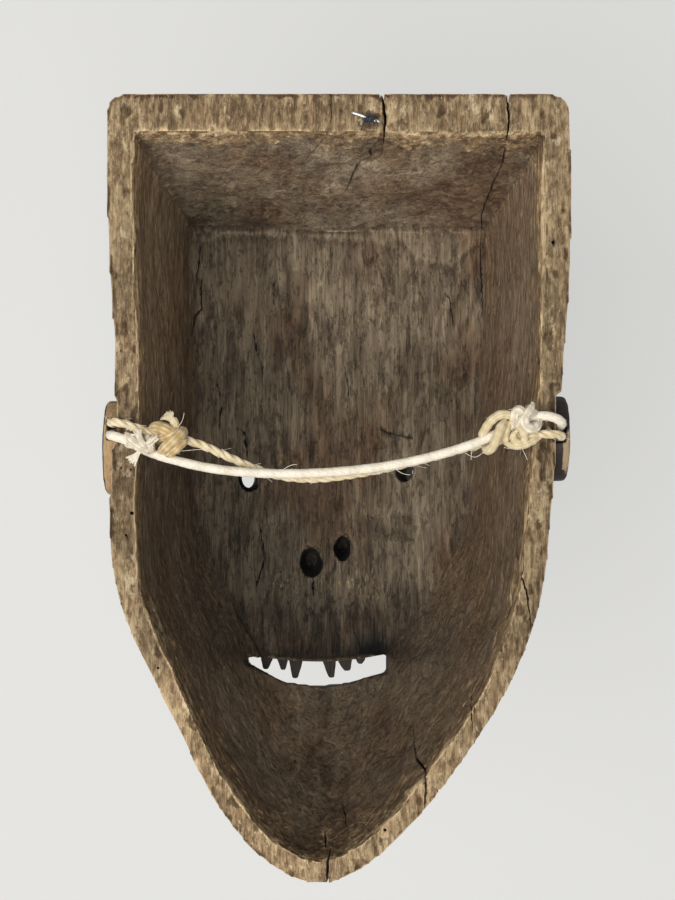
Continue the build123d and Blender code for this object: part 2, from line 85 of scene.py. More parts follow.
def centre(node):
    low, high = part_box(node)
    return (low + high) / 2


# The cords' routes, as (side, depth, down).
WHITE_ROUTE = [
    (0.0832, 0.0365, 0.1209), (0.0815, 0.03, 0.1212), (0.0813, 0.021, 0.121), (0.0813, 0.0115, 0.1208),
    (0.0813, 0.004, 0.1212), (0.0814, -0.0018, 0.1214), (0.0787, -0.0047, 0.1218),
    (0.0738, -0.0039, 0.1236), (0.0686, -0.003, 0.1269), (0.0606, -0.0026, 0.1296),
    (0.0463, -0.0022, 0.1332), (0.0305, -0.0019, 0.1348), (0.014, -0.0017, 0.1351),
    (-0.003, -0.0017, 0.1341), (-0.02, -0.0018, 0.1319), (-0.036, -0.0022, 0.1282),
    (-0.05, -0.0029, 0.1236), (-0.0595, -0.0036, 0.1187), (-0.066, -0.0039, 0.1154),
    (-0.072, -0.0042, 0.1143), (-0.0764, -0.0048, 0.1154), (-0.079, -0.0019, 0.1172),
    (-0.079, 0.004, 0.1181), (-0.07895, 0.0115, 0.1183), (-0.079, 0.021, 0.1181), (-0.079, 0.03, 0.118),
    (-0.0808, 0.0365, 0.1181),
]
TWISTED_ROUTE = [
    (0.0832, 0.0365, 0.1173), (0.0814, 0.03, 0.117), (0.0812, 0.021, 0.1172), (0.0812, 0.0115, 0.1173),
    (0.0813, 0.004, 0.1171), (0.0813, -0.0016, 0.1167), (0.0786, -0.0044, 0.1166),
    (0.0738, -0.0036, 0.118), (0.0674, -0.0029, 0.1202), (0.0604, -0.0025, 0.1223),
    (0.054, -0.0018, 0.123), (0.0467, -0.0006, 0.1256), (0.039, 0.001, 0.1294), (0.03, 0.0023, 0.1334),
    (0.02, 0.0025, 0.1364), (0.008, 0.0021, 0.1371), (-0.006, 0.002, 0.1353), (-0.021, 0.0019, 0.1323),
    (-0.0365, 0.0016, 0.1283), (-0.049, 0.001, 0.1248), (-0.0585, 0.0002, 0.1228),
    (-0.0655, -0.0019, 0.1216), (-0.0716, -0.0039, 0.121), (-0.0763, -0.0045, 0.1211),
    (-0.079, -0.0017, 0.1217), (-0.0791, 0.004, 0.1219), (-0.079, 0.0115, 0.1221),
    (-0.079, 0.021, 0.1219), (-0.0791, 0.03, 0.1218), (-0.0808, 0.0365, 0.1217),
]


# ---------------------------------------------------------------- settings
def linear(code):
    """A scene-linear colour from its six-digit code."""
    parts = [int(code[i : i + 2], 16) / 255 for i in (0, 2, 4)]
    return tuple(c / 12.92 if c <= 0.04045 else ((c + 0.055) / 1.055) ** 2.4 for c in parts)


def colour(name, description, code):
    return bpy.props.FloatVectorProperty(
        name=name, description=description, default=linear(code), subtype="COLOR", size=3, min=0, max=1
    )


def number(name, description, default, **more):
    return bpy.props.FloatProperty(name=name, description=description, default=default, min=0, **more)


def length(name, description, default):
    return number(name, description, default, subtype="DISTANCE", unit="LENGTH")


def share(name, description, default, high=1.0):
    return number(name, description, default, max=high, subtype="FACTOR")


class MaskWoodSettings(bpy.types.PropertyGroup):
    hollow_dark: colour("Hollow dark", "Sooty wood deep in the hollow", "54483a")
    hollow_mid: colour("Hollow middle", "Most of the bare wood in the hollow", "716452")
    hollow_light: colour("Hollow light", "Rubbed fibres in the hollow", "8d7e69")
    rim_dark: colour("Rim dark", "Greasy wood between the rim's worn fibres", "66513a")
    rim_mid: colour("Rim middle", "Most of the worn rim", "8d7557")
    rim_light: colour("Rim light", "The rim's bleached fibres", "c4ac85")
    rim_stain: colour("Rim stain", "Dark stains on the rim", "4f3d2a")
    paint: colour("Paint", "Old paint on the outside", "2a2320")
    hollow_warm: colour("Hollow warmth", "Red-brown clouds in the hollow's wood", "7a5640")
    wall_warm: colour("Wall warmth", "Red-brown wood of the side walls", "7a5c40")
    rim_pale: colour("Rim flecks", "Bleached flecks on the rim", "d6c3a0")
    paint_dust: colour("Paint dust", "Dusty bloom on the old paint", "4d443c")
    tooth_ivory: colour("Tooth front", "Yellowed paint on the fronts of the teeth", "b5a17c")
    detail: length("Mesh detail", "Size of the block's smallest facets", USUAL_DETAIL)
    wear: share("Wear", "How far the paint has rubbed off the high places", 0.55)


class MaskCordSettings(bpy.types.PropertyGroup):
    white_diameter: length("White cord", "Diameter of the white cotton cord", 0.0036)
    twisted_diameter: length("Twisted cord", "Diameter of the twisted cord", 0.0031)
    white: colour("White cotton", "Cotton of the thicker cord", "efe7d6")
    straw: colour("Straw fibre", "Fibre of the twisted cord", "e4d7b6")
    tan: colour("Tan fibre", "Darker fibre of the left knot", "dcc9a0")
    lay: length("Lay", "Length of one turn of the twisted cord", 0.0135)


class MaskStageSettings(bpy.types.PropertyGroup):
    paper: colour("Backdrop", "Paper behind the mask", "e6e6e4")
    key_power: number("Key lamp", "Power of the big soft lamp, in watts", 12.0)
    fill: share("Fill light", "Strength of the even light from all sides", 0.42, 2.0)


# ---------------------------------------------------------------- shader maths
def arithmetic(operation, swapped=False):
    """A method that works out an operation on a field and another value, in either order."""

    def method(self, other):
        return self.maths(operation, *((other, self) if swapped else (self, other)))

    return method


class Field:
    """A value that varies over a surface. Arithmetic on it adds the nodes that work it out."""

    def __init__(self, shader, socket):
        self.shader = shader
        self.socket = socket

    def maths(self, operation, *values):
        return self.shader.node("ShaderNodeMath", {"operation": operation}, dict(enumerate(values)))

    __add__, __radd__ = arithmetic("ADD"), arithmetic("ADD", swapped=True)
    __sub__, __rsub__ = arithmetic("SUBTRACT"), arithmetic("SUBTRACT", swapped=True)
    __mul__, __rmul__ = arithmetic("MULTIPLY"), arithmetic("MULTIPLY", swapped=True)

    def over(self, low, high, bottom=0.0, top=1.0):
        """This value's smooth rise from bottom, where it is low, to top, where it is high."""
        ranges = {0: self, 1: low, 2: high, 3: bottom, 4: top}
        return self.shader.node("ShaderNodeMapRange", {"interpolation_type": "SMOOTHSTEP"}, ranges)

    def clipped(self):
        return self.shader.node("ShaderNodeClamp", inputs={0: self})


class Shader:
    """One material or world and the nodes that make it."""

    def __init__(self, name, kind="materials"):
        self.owner = getattr(bpy.data, kind).new(name)
        self.owner.use_nodes = True
        self.tree = self.owner.node_tree
        self.tree.nodes.clear()

    @functools.cached_property
    def place(self):
        return self.node("ShaderNodeTexCoord", output="Object")

    def node(self, kind, settings=None, inputs=None, output=0):
        """Adds a node: its settings first, then the values or links of its sockets."""
        node = self.tree.nodes.new(kind)
        for name, value in (settings or {}).items():
            if name == "stops":
                ramp = node.color_ramp
                while len(ramp.elements) < len(value):
                    ramp.elements.new(0.5)
                for element, (position, tint) in zip(ramp.elements, value):
                    element.position = position
                    element.color = (*tint, 1)
            else:
                setattr(node, name, value)
        for name, value in (inputs or {}).items():
            if isinstance(value, Field):
                self.tree.links.new(value.socket, node.inputs[name])
            else:
                node.inputs[name].default_value = value
        return Field(self, node.outputs[output]) if node.outputs else None

    def grains(self, size, shift=0.0):
        """The place on the object, in grains of this size along X, Y and Z."""
        return self.node(
            "ShaderNodeVectorMath",
            {"operation": "MULTIPLY_ADD"},
            {0: self.place, 1: [1 / s for s in size], 2: (shift, 0.7 * shift, -shift)},
        )

    def noise(self, size, detail=3.0, rough=0.55, shift=0.0):
        """Noise of about 0 to 1 whose grains have this size along X, Y and Z, in metres."""
        inputs = {"Vector": self.grains(size, shift), "Scale": 1, "Detail": detail, "Roughness": rough}
        return self.node("ShaderNodeTexNoise", inputs=inputs)

    def cells(self, vector, feature="F1", output="Distance"):
        inputs = {"Vector": vector, "Scale": 1}
        return self.node("ShaderNodeTexVoronoi", {"feature": feature}, inputs, output)

    def ragged(self, size, warp, shift=0.0):
        """The place in grains of this size, pushed about so that its cells have ragged edges."""
        grains = self.grains(size, shift)
        inputs = {"Vector": grains, "Scale": 1.6, "Detail": 4}
        wobble = self.node("ShaderNodeTexNoise", inputs=inputs, output="Color")
        inputs = {0: wobble, 1: (warp,) * 3, 2: grains}
        return self.node("ShaderNodeVectorMath", {"operation": "MULTIPLY_ADD"}, inputs)

    def attribute(self, name):
        return self.node("ShaderNodeAttribute", {"attribute_name": name}, output="Fac")

    def blend(self, amount, under, upper, mode="MIX"):
        """Two colours mixed by an amount."""
        under, upper = [c if isinstance(c, Field) else (*c, 1) for c in (under, upper)]
        settings = {"data_type": "RGBA", "blend_type": mode, "clamp_factor": True}
        return self.node("ShaderNodeMix", settings, {0: amount, 6: under, 7: upper}, output=2)

    def ramp(self, value, *stops):
        return self.node("ShaderNodeValToRGB", {"stops": stops}, {0: value})

    def tinted(self, base, amount):
        """A colour made darker or lighter by an amount that varies."""
        grey = self.node("ShaderNodeCombineColor", inputs={0: amount, 1: amount, 2: amount})
        return self.blend(1.0, base, grey, "MULTIPLY")

    def finish(self, base, roughness, height, bump, **constants):
        """The surface: what varies is linked, and what doesn't is set on its socket."""
        inputs = {"Strength": 1.0, "Distance": bump, "Height": height}
        inputs = {
            "Base Color": base,
            "Roughness": roughness,
            "Normal": self.node("ShaderNodeBump", inputs=inputs),
            **{name.replace("_", " "): value for name, value in constants.items()},
        }
        surface = self.node("ShaderNodeBsdfPrincipled", inputs=inputs)
        self.node("ShaderNodeOutputMaterial", inputs={"Surface": surface})
        return self.owner


# ---------------------------------------------------------------- materials
def block_wood(settings):
    """The block's wood: sooty in the hollow, worn bare on the rim, painted outside, and with painted light
    and shade.
    """
    s = Shader("block_wood")
    fibre = s.noise((0.0009, 0.0009, 0.013), 5, 0.68)
    fine = s.noise((0.0004, 0.0004, 0.0040), 3, 0.6, 4.0)
    fleck = s.noise((0.0012, 0.0012, 0.0030), 4, 0.7, 9.0)
    blotch = s.noise((0.011, 0.011, 0.020), 4, 0.6, 2.0)
    cloud = s.noise((0.035, 0.035, 0.050), 3, 0.5, 6.0)
    pore = s.cells(s.grains((0.0030, 0.0030, 0.0060))).over(0.04, 0.13, 1.0, 0.0)
    flakes = s.ragged((0.009, 0.009, 0.026), 0.9)
    flake, flake_edge = s.cells(flakes, output="Color"), s.cells(flakes, "DISTANCE_TO_EDGE")
    chip = s.cells(s.ragged((0.0035, 0.0035, 0.008), 1.0, 5.0), output="Color")
    line = s.noise((0.0018, 0.0018, 0.032), 3, 0.55, 14.0) - 0.5
    strand = s.noise((0.0014, 0.0014, 0.0085), 4, 0.62, 17.0)
    tear_noise = s.noise((0.0016, 0.0016, 0.0060), 5, 0.74, 19.0)
    # Attributes: bare rim, paint, wear, grime with painted shade in creases, side walls, scratches, and
    # random brightness with painted light and shade.
    bare, painted, worn = map(s.attribute, ("bare_rim", "painted", "edge_wear"))
    grime_and_crease_shade, tone, wall, scratch = map(s.attribute, ("hollow_dirt", "tone", "side_wall", "scratched"))

    streaks = 0.30 * fibre + 0.25 * blotch + 0.18 * fine + 0.15 * flake + 0.12 * chip
    streaks = (streaks + 0.30 * worn - 0.35 * grime_and_crease_shade).clipped()
    shades = (0.34, settings.hollow_dark), (0.50, settings.hollow_mid), (0.67, settings.hollow_light)
    hollow = s.ramp(streaks, *shades)
    hollow = s.blend(0.6 * cloud.over(0.44, 0.66), hollow, settings.hollow_warm, "SOFT_LIGHT")
    hollow = s.blend(wall * (0.15 + 0.5 * cloud), hollow, settings.wall_warm)
    hollow = s.blend(0.9 * wall * fine.over(0.49, 0.62), hollow, settings.hollow_light)
    hollow = s.tinted(hollow, 1 - 0.5 * wall * strand.over(0.42, 0.56, 0.5, 0.0))
    split = (line * line).over(0.0, 0.0009, 1.0, 0.0) * (0.35 + 0.4 * chip)
    torn = flake_edge.over(0.0, 0.045, 1.0, 0.0) * blotch.over(0.40, 0.62)
    tear = (tear_noise + 0.35 * (blotch - 0.5)).over(0.36, 0.46, 1.0, 0.0)
    hollow = s.tinted(hollow, tone - 0.30 * split - 0.22 * torn - 0.38 * tear * (tone - 0.35).clipped())
    hollow = s.blend(0.6 * scratch * fleck.over(0.52, 0.74), hollow, settings.rim_light)

    rubbed = 0.34 * fleck + 0.20 * blotch + 0.20 * cloud + 0.12 * fibre + 0.20 * fine
    rubbed = (rubbed + 0.25 * worn - 0.30 * grime_and_crease_shade - 0.16 * (1 - bare)).clipped()
    shades = (0.38, settings.rim_dark), (0.50, settings.rim_mid), (0.63, settings.rim_light)
    rim = s.ramp(rubbed, *shades)
    stain = s.noise((0.0048, 0.0048, 0.0062), 7, 0.80, 12.0)
    stained = (stain + 0.30 * (fleck - 0.5) + 0.30 * (cloud - 0.5) + 0.4 * grime_and_crease_shade).over(0.50, 0.70)
    rim = s.blend(0.50 * stained, rim, settings.rim_stain)
    pale = s.noise((0.0034, 0.0034, 0.0056), 5, 0.75, 21.0)
    rim = s.blend(0.7 * (pale + 0.25 * (blotch - 0.5)).over(0.57, 0.66), rim, settings.rim_pale)
    rim = s.tinted(rim, tone)
    edge = (bare + 0.75 * (fleck - 0.5) + 0.55 * (blotch - 0.5)).over(0.36, 0.64)
    wood = s.blend(edge, hollow, rim)

    dusty = 0.45 * blotch + 0.30 * tear_noise + 0.25 * fine
    paint = s.blend(dusty.over(0.42, 0.66), settings.paint, settings.paint_dust)
    paint = s.tinted(paint, tone - 0.35 * split - 0.25 * tear)
    rubbed_off = (worn * settings.wear * 2.0 + 1.1 * (fleck - 0.5) + 2.2 * (stain - 0.54)).over(0.42, 0.55)
    cover = (painted + 0.5 * (fleck - 0.5)).over(0.40, 0.60) * (1 - rubbed_off)
    surface = s.blend(cover, wood, paint)
    surface = s.tinted(surface, 1 - 0.32 * pore * (1 - 0.4 * cover))

    rough = 0.84 - 0.30 * cover + 0.10 * (fine - 0.5)
    height = 0.35 * fibre + 0.3 * fine + 0.30 * fleck - 0.5 * pore + 0.25 * cover
    height += (1 - cover) * (0.35 * flake_edge.over(0.0, 0.10) + 0.30 * chip) - 0.35 * split - 0.4 * tear
    return s.finish(surface, rough, height, 0.0007, Specular_IOR_Level=0.3)


def ear_wood(settings, painted_back):
    """An ear's wood: paint outside and, on one ear, on the back too."""
    if painted_back:
        name, mid, light = "painted_ear", "7d6a52", "a08b6e"
    else:
        name, mid, light = "bare_ear", "a38763", "c3a47a"
    s = Shader(name)
    fibre = s.noise((0.0009, 0.0009, 0.011), 4, 0.65)
    fleck = s.noise((0.0010, 0.0010, 0.0026), 4, 0.7, 5.0)
    blotch = s.noise((0.008, 0.008, 0.014), 3, 0.6, 3.0)
    painted = s.attribute("painted")
    worn = s.attribute("edge_wear")
    shades = (0.34, linear("6f5a41")), (0.50, linear(mid)), (0.68, linear(light))
    wood = s.ramp((0.5 * fibre + 0.3 * fleck + 0.2 * blotch + 0.2 * worn).clipped(), *shades)
    paint = s.blend(blotch.over(0.4, 0.7), settings.paint, linear("3b2f2f"))
    rubbed = (worn * settings.wear * 1.8 + 0.8 * (fleck - 0.5) + 0.4 * (blotch - 0.5)).over(0.42, 0.56)
    cover = (painted + 0.4 * (fleck - 0.5)).over(0.4, 0.6) * (1 - rubbed)
    surface = s.blend(cover, wood, paint)
    height = 0.6 * fibre + 0.4 * fleck + 0.2 * cover
    return s.finish(surface, 0.82 - 0.25 * cover, height, 0.0005, Specular_IOR_Level=0.3)


def tooth_wood(settings):
    """A slip of dark wood with yellowed paint on its front."""
    s = Shader("tooth_wood")
    fibre = s.noise((0.0006, 0.0006, 0.006), 4, 0.6)
    fleck = s.noise((0.0011, 0.0011, 0.0022), 4, 0.7, 2.0)
    front = s.attribute("painted")
    worn = s.attribute("edge_wear")
    wood = s.ramp(fibre, (0.3, linear("1b1714")), (0.7, linear("30281f")))
    ivory = s.blend(fleck.over(0.35, 0.7), settings.tooth_ivory, linear("8d7a5c"))
    cover = (front - 0.5 * worn + 0.7 * (fleck - 0.5)).over(0.35, 0.6)
    surface = s.blend(cover, wood, ivory)
    return s.finish(surface, 0.75 - 0.2 * cover, 0.6 * fibre + 0.3 * fleck + 0.3 * cover, 0.0003)


def cord_fibre(name, tint, dark, streak=0.0005):
    """Soft plant fibre: fine threads along the strands, some grime, painted shade in the grooves, and a
    soft sheen.
    """
    s = Shader(name)
    thread = s.noise((streak, streak, streak), 3, 0.6)
    patch = s.noise((0.006, 0.006, 0.006), 3, 0.6, 3.0)
    shade = s.attribute("hollow_dirt")
    # Threads and patches are grime; the grooves' values are painted shade.
    grime_and_groove_shade = (0.55 * thread + 0.45 * patch + 0.6 * shade - 0.30).over(0.12, 0.60)
    soft = {"Sheen_Weight": 0.25, "Sheen_Roughness": 0.5, "Specular_IOR_Level": 0.2}
    return s.finish(s.blend(grime_and_groove_shade, tint, dark), 0.9, thread, 0.00025, **soft)


def iron():
    """Dark hand-cut iron with rust."""
    s = Shader("nail_iron")
    rust = s.noise((0.0012, 0.0012, 0.0012), 4, 0.65)
    patch = s.noise((0.004, 0.004, 0.004), 2, 0.5, 5.0)
    mask = (0.6 * rust + 0.4 * patch).over(0.42, 0.62)
    surface = s.blend(mask, linear("3a3431"), linear("6b4327"))
    return s.finish(surface, 0.5 + 0.35 * mask, rust, 0.0003, Metallic=0.6)


def steel():
    """Bright wire with dull patches."""
    s = Shader("staple_steel")
    dull = s.noise((0.0012, 0.0012, 0.0012), 3, 0.6)
    surface = s.blend(dull.over(0.45, 0.7), linear("dcdcda"), linear("8f8d88"))
    return s.finish(surface, 0.22 + 0.4 * dull, dull, 0.0001, Metallic=1.0)


def thread_cotton():
    """Blue-black sewing thread."""
    s = Shader("dark_thread")
    strand = s.noise((0.0003, 0.0003, 0.0003), 3, 0.6)
    surface = s.blend(strand.over(0.35, 0.7), linear("11151c"), linear("2d3644"))
    return s.finish(surface, 0.8, strand, 0.0002, Sheen_Weight=0.2)


# ---------------------------------------------------------------- mesh tools
GROOVE_SHADE = 6  # how much painted shade a cord's grooves get for their depth


def smooth_rise(value, low, high):
    """0 below low, 1 above high and a smooth curve between."""
    t = np.clip((value - low) / (high - low), 0, 1)
    return t * t * (3 - 2 * t)


def soft_noise(points, cell, seed, octaves=3):
    """Smooth noise from about -1 to 1 at each point; cell is its grain along each axis."""
    table = np.random.default_rng(seed).uniform(-1, 1, (32, 32, 32))
    cell = np.array(cell, float)
    total = np.zeros(len(points))
    gain = 1.0
    for octave in range(octaves):
        scaled = points / cell + 7.3 * octave
        whole = np.floor(scaled).astype(int)
        part = scaled - whole
        part = part * part * (3 - 2 * part)
        for corner in itertools.product((0, 1), repeat=3):
            weight = np.prod(np.where(corner, part, 1 - part), axis=1)
            i, j, k = ((whole + corner) % 32).T
            total += gain * weight * table[i, j, k]
        gain *= 0.5
        cell = cell / 2
    return total


def tool_cuts(u, v, width, height, seed):
    """Overlapping gouge cuts that meet in ridges: each point's height, from about -1 to 1."""
    rng = np.random.default_rng(seed)
    across = np.arange(u.min() - width, u.max() + 2 * width, width)
    down = np.arange(v.min() - height, v.max() + 2 * height, height)
    seeds = np.array([(a, b) for a in across for b in down])
    seeds += rng.uniform(-0.48, 0.48, seeds.shape) * (width, height)
    level = rng.uniform(-0.45, 0.45, len(seeds))
    lean = rng.uniform(-0.5, 0.5, len(seeds)) * width / height
    best = np.full(u.shape, 1e9)
    for (a, b), high, turn in zip(seeds, level, lean):
        from_middle = u - a - turn * (v - b)
        np.minimum(best, (from_middle / width) ** 2 + ((v - b) / height) ** 2 + high, out=best)
    return np.clip(1.9 * best - 0.35, -1.2, 1.6)


def distance_to(u, v, line):
    """Each point's distance to a line of points."""
    best = np.full(u.shape, 1e9)
    for (au, av), (bu, bv) in zip(line, line[1:]):
        du, dv = bu - au, bv - av
        along = np.clip(((u - au) * du + (v - av) * dv) / (du * du + dv * dv), 0, 1)
        best = np.minimum(best, np.hypot(u - au - along * du, v - av - along * dv))
    return best


def hill(u, v, middle_u, middle_v, half_u, half_v, turn=0.0):
    """A soft hill of height 1 over an oval."""
    c, s = math.cos(math.radians(turn)), math.sin(math.radians(turn))
    a = ((u - middle_u) * c + (v - middle_v) * s) / half_u
    b = ((v - middle_v) * c - (u - middle_u) * s) / half_v
    return np.exp(-0.5 * (a * a + b * b))


def read_vectors(items, key):
    values = np.empty(len(items) * 3, np.float32)
    items.foreach_get(key, values)
    return values.reshape(-1, 3).astype(float)


def read_points(mesh):
    return read_vectors(mesh.vertices, "co")


def read_normals(mesh):
    return read_vectors(mesh.vertex_normals, "vector")


def write_points(mesh, points):
    mesh.vertices.foreach_set("co", points.astype(np.float32).ravel())
    mesh.update()


def to_mm(points):
    """(side, depth, down) in millimetres of points in the frame."""
    return np.stack((points[:, 0] - MIDDLE_X, -points[:, 1], TOP_Z - points[:, 2]), axis=1) / MM


def survey(mesh):
    """A mesh's points in the frame, and as (side, depth, down) the same points and their normals."""
    raw = read_points(mesh)
    return raw, to_mm(raw), read_normals(mesh) * (1, -1, -1)


def raise_points(mesh, raw, lift):
    """Moves a mesh's points along its normals, each by its lift in millimetres."""
    write_points(mesh, raw + read_normals(mesh) * (lift * MM)[:, None])


def spread(mesh, values, rounds):
    """Values averaged with their neighbours' along the mesh's edges, round after round."""
    ends = np.empty(len(mesh.edges) * 2, np.int32)
    mesh.edges.foreach_get("vertices", ends)
    a, b = ends.reshape(-1, 2).T
    count = len(mesh.vertices)
    share_of = np.maximum(np.bincount(a, minlength=count) + np.bincount(b, minlength=count), 1)
    values = np.array(values, float)
    flat = values.ndim == 1
    if flat:
        values = values[:, None]
    for _ in range(rounds):
        total = [np.bincount(a, column[b], count) + np.bincount(b, column[a], count) for column in values.T]
        values = 0.5 * values + 0.5 * np.stack(total, axis=1) / share_of[:, None]
    return values[:, 0] if flat else values


def bulge(mesh, rounds):
    """How far each vertex stands above its surroundings, in millimetres."""
    points = read_points(mesh)
    around = spread(mesh, points, rounds)
    return ((points - around) * read_normals(mesh)).sum(axis=1) / MM


def set_attributes(mesh, **fields):
    """Writes named values to a mesh's vertices, for its material to read."""
    for name, values in fields.items():
        made = mesh.attributes.new(name, "FLOAT", "POINT")
        made.data.foreach_set("value", np.clip(values, -4, 4).astype(np.float32))


def link(name, data):
    obj = bpy.data.objects.new(name, data)
    bpy.context.scene.collection.objects.link(obj)
    return obj


def dress(obj, material):
    """Gives an object one material."""
    obj.data.materials.clear()
    obj.data.materials.append(material)


def add_object(name, mesh, material=None):
    obj = link(name, mesh)
    if material:
        dress(obj, material)
    mesh.shade_smooth()
    return obj


def modify(obj, kind, **settings):
    """Puts a modifier on an object and bakes it into the object's mesh."""
    modifier = obj.modifiers.new(kind.lower(), kind)
    for name, value in settings.items():
        setattr(modifier, name, value)
    graph = bpy.context.evaluated_depsgraph_get()
    mesh = bpy.data.meshes.new_from_object(obj.evaluated_get(graph))
    old = obj.data
    obj.modifiers.clear()
    obj.data = mesh
    bpy.data.meshes.remove(old)
    return mesh


class MeshPile:
    """Vertices and faces gathered into one mesh."""

    def __init__(self):
        self.points = []
        self.faces = []
        self.values = []

    def add(self, points, faces, values=0.0):
        start = len(self.points)
        self.points.extend(map(tuple, points))
        self.faces.extend([start + i for i in face] for face in faces)
        self.values.extend(np.broadcast_to(values, len(points)))

    def build(self, name, material=None, attribute=None):
        mesh = bpy.data.meshes.new(name)
        mesh.from_pydata(self.points, [], self.faces)
        mesh.update()
        if attribute:
            set_attributes(mesh, **{attribute: np.array(self.values)})
        return add_object(name, mesh, material)


def line_frames(line):
    """A line's points, and two steady side directions at each, as arrays."""
    line = np.array([tuple(p) for p in line], float)
    ahead = np.gradient(line, axis=0)
    ahead /= np.linalg.norm(ahead, axis=1)[:, None]
    first = np.cross(ahead[0], (0.31, 0.22, 0.93))
    sides = [first / np.linalg.norm(first)]
    for way in ahead[1:]:
        turned = sides[-1] - way * np.dot(sides[-1], way)
        sides.append(turned / np.linalg.norm(turned))
    side = np.array(sides)
    return line, side, np.cross(ahead, side)


def travelled(line):
    """The distance along a line at each of its points."""
    steps = np.linalg.norm(np.diff(line, axis=0), axis=1)
    return np.concatenate(([0], np.cumsum(steps)))


def ring_faces(rings, sides):
    """The faces between one ring of points and the next, for rings with this many sides."""
    faces = []
    for i in range(rings - 1):
        a, b = i * sides, (i + 1) * sides
        faces += [(a + j, a + (j + 1) % sides, b + (j + 1) % sides, b + j) for j in range(sides)]
    return faces


def tube(pile, line, radius, sides, ripple=None):
    """Adds a closed tube along a line. Its radius may vary along it, and ripple roughens it."""
    line, side, up = line_frames(line)
    count = len(line)
    radius = np.broadcast_to(radius, count)
    angle = np.linspace(0, 2 * math.pi, sides, endpoint=False)
    reach = radius[:, None] * np.ones(sides)
    shade = np.zeros((count, sides))
    if ripple:
        shade = ripple(travelled(line)[:, None], angle[None, :])
        reach = reach * (1 - shade)
    points = line[:, None, :] + reach[:, :, None] * np.cos(angle)[None, :, None] * side[:, None, :]
    points = points + reach[:, :, None] * np.sin(angle)[None, :, None] * up[:, None, :]
    start = line[0] + 0.5 * radius[0] * (line[0] - line[1]) / np.linalg.norm(line[0] - line[1])
    end = line[-1] + 0.5 * radius[-1] * (line[-1] - line[-2]) / np.linalg.norm(line[-1] - line[-2])
    last, tip = (count - 1) * sides, count * sides
    faces = ring_faces(count, sides)
    faces += [(tip, (j + 1) % sides, j) for j in range(sides)]
    faces += [(tip + 1, last + j, last + (j + 1) % sides) for j in range(sides)]
    # The grooves' depth, kept for the material to paint as shade.
    values = np.concatenate((shade.ravel(), (0, 0)))
    pile.add(np.vstack((points.reshape(-1, 3), start, end)), faces, values * GROOVE_SHADE)


def smooth_line(points):
    """The points of the NURBS line that has these control points."""
    curve = bpy.data.curves.new("route", "CURVE")
    curve.dimensions = "3D"
    curve.resolution_u = 12
    spline = curve.splines.new("NURBS")
    spline.points.add(len(points) - 1)
    for control, point in zip(spline.points, points):
        control.co = (*point, 1)
    spline.order_u = 3
    spline.use_endpoint_u = True
    holder = bpy.data.objects.new("route", curve)
    mesh = bpy.data.meshes.new_from_object(holder)
    line = [vertex.co.copy() for vertex in mesh.vertices]
    bpy.data.meshes.remove(mesh)
    bpy.data.objects.remove(holder)
    bpy.data.curves.remove(curve)
    return line


def strands(pile, line, diameter, lay):
    """Adds a cord laid up from three twisted plies along a line."""
    line, side, up = line_frames(line)
    turn = 2 * math.pi * travelled(line) / lay
    ply = diameter * 0.285
    reach = diameter / 2 - ply * 0.93
    for index in range(3):
        phase = turn + 2 * math.pi * index / 3
        offset = np.cos(phase)[:, None] * side + np.sin(phase)[:, None] * up

        def ripple(along, angle, index=index):
            twist = 9 * angle - 2 * math.pi * along / (lay * 0.35) + index
            return 0.055 * (0.5 + 0.5 * np.cos(twist))

        tube(pile, line + reach * offset, ply, 8, ripple)


def braid(pile, line, diameter, sides):
    """Adds a soft round cotton cord with a faint braid along a line."""
    pitch = 0.0068

    def ripple(along, angle):
        right = np.cos(4 * angle + 2 * math.pi * along / pitch)
        left = np.cos(4 * angle - 2 * math.pi * along / pitch)
        uneven = 0.018 * np.sin(along * 700) + 0.014 * np.sin(along * 2300 + 2 * angle)
        return (0.030 + 0.016 * (right * left < 0)) * np.abs(right * left) + uneven

    tube(pile, line, diameter / 2, sides, ripple)


# ---------------------------------------------------------------- the block
# Marks in the hollow and on the rim, in millimetres, as they are seen from the viewpoint. Slits
# in the rim: their line, width at the surface and depth. The last is only a hairline.
RIM_SLITS = [
    ([(-15.1, -2), (-15.4, 3), (-16.2, 9.4), (-15.6, 14), (-14.6, 16.2)], 0.85, 11),
    ([(-59.8, -2), (-59.6, 3), (-60.2, 8.7), (-59.9, 13), (-59.4, 15.6)], 0.6, 11),
    ([(5.5, 266), (5, 268.5), (4.2, 272), (4.3, 277), (3.9, 283.5)], 0.8, 10),
    ([(2.7, -1.5), (2.9, 4), (2.7, 8), (3.6, 12), (4.4, 14.6)], 0.34, 0.9),
]
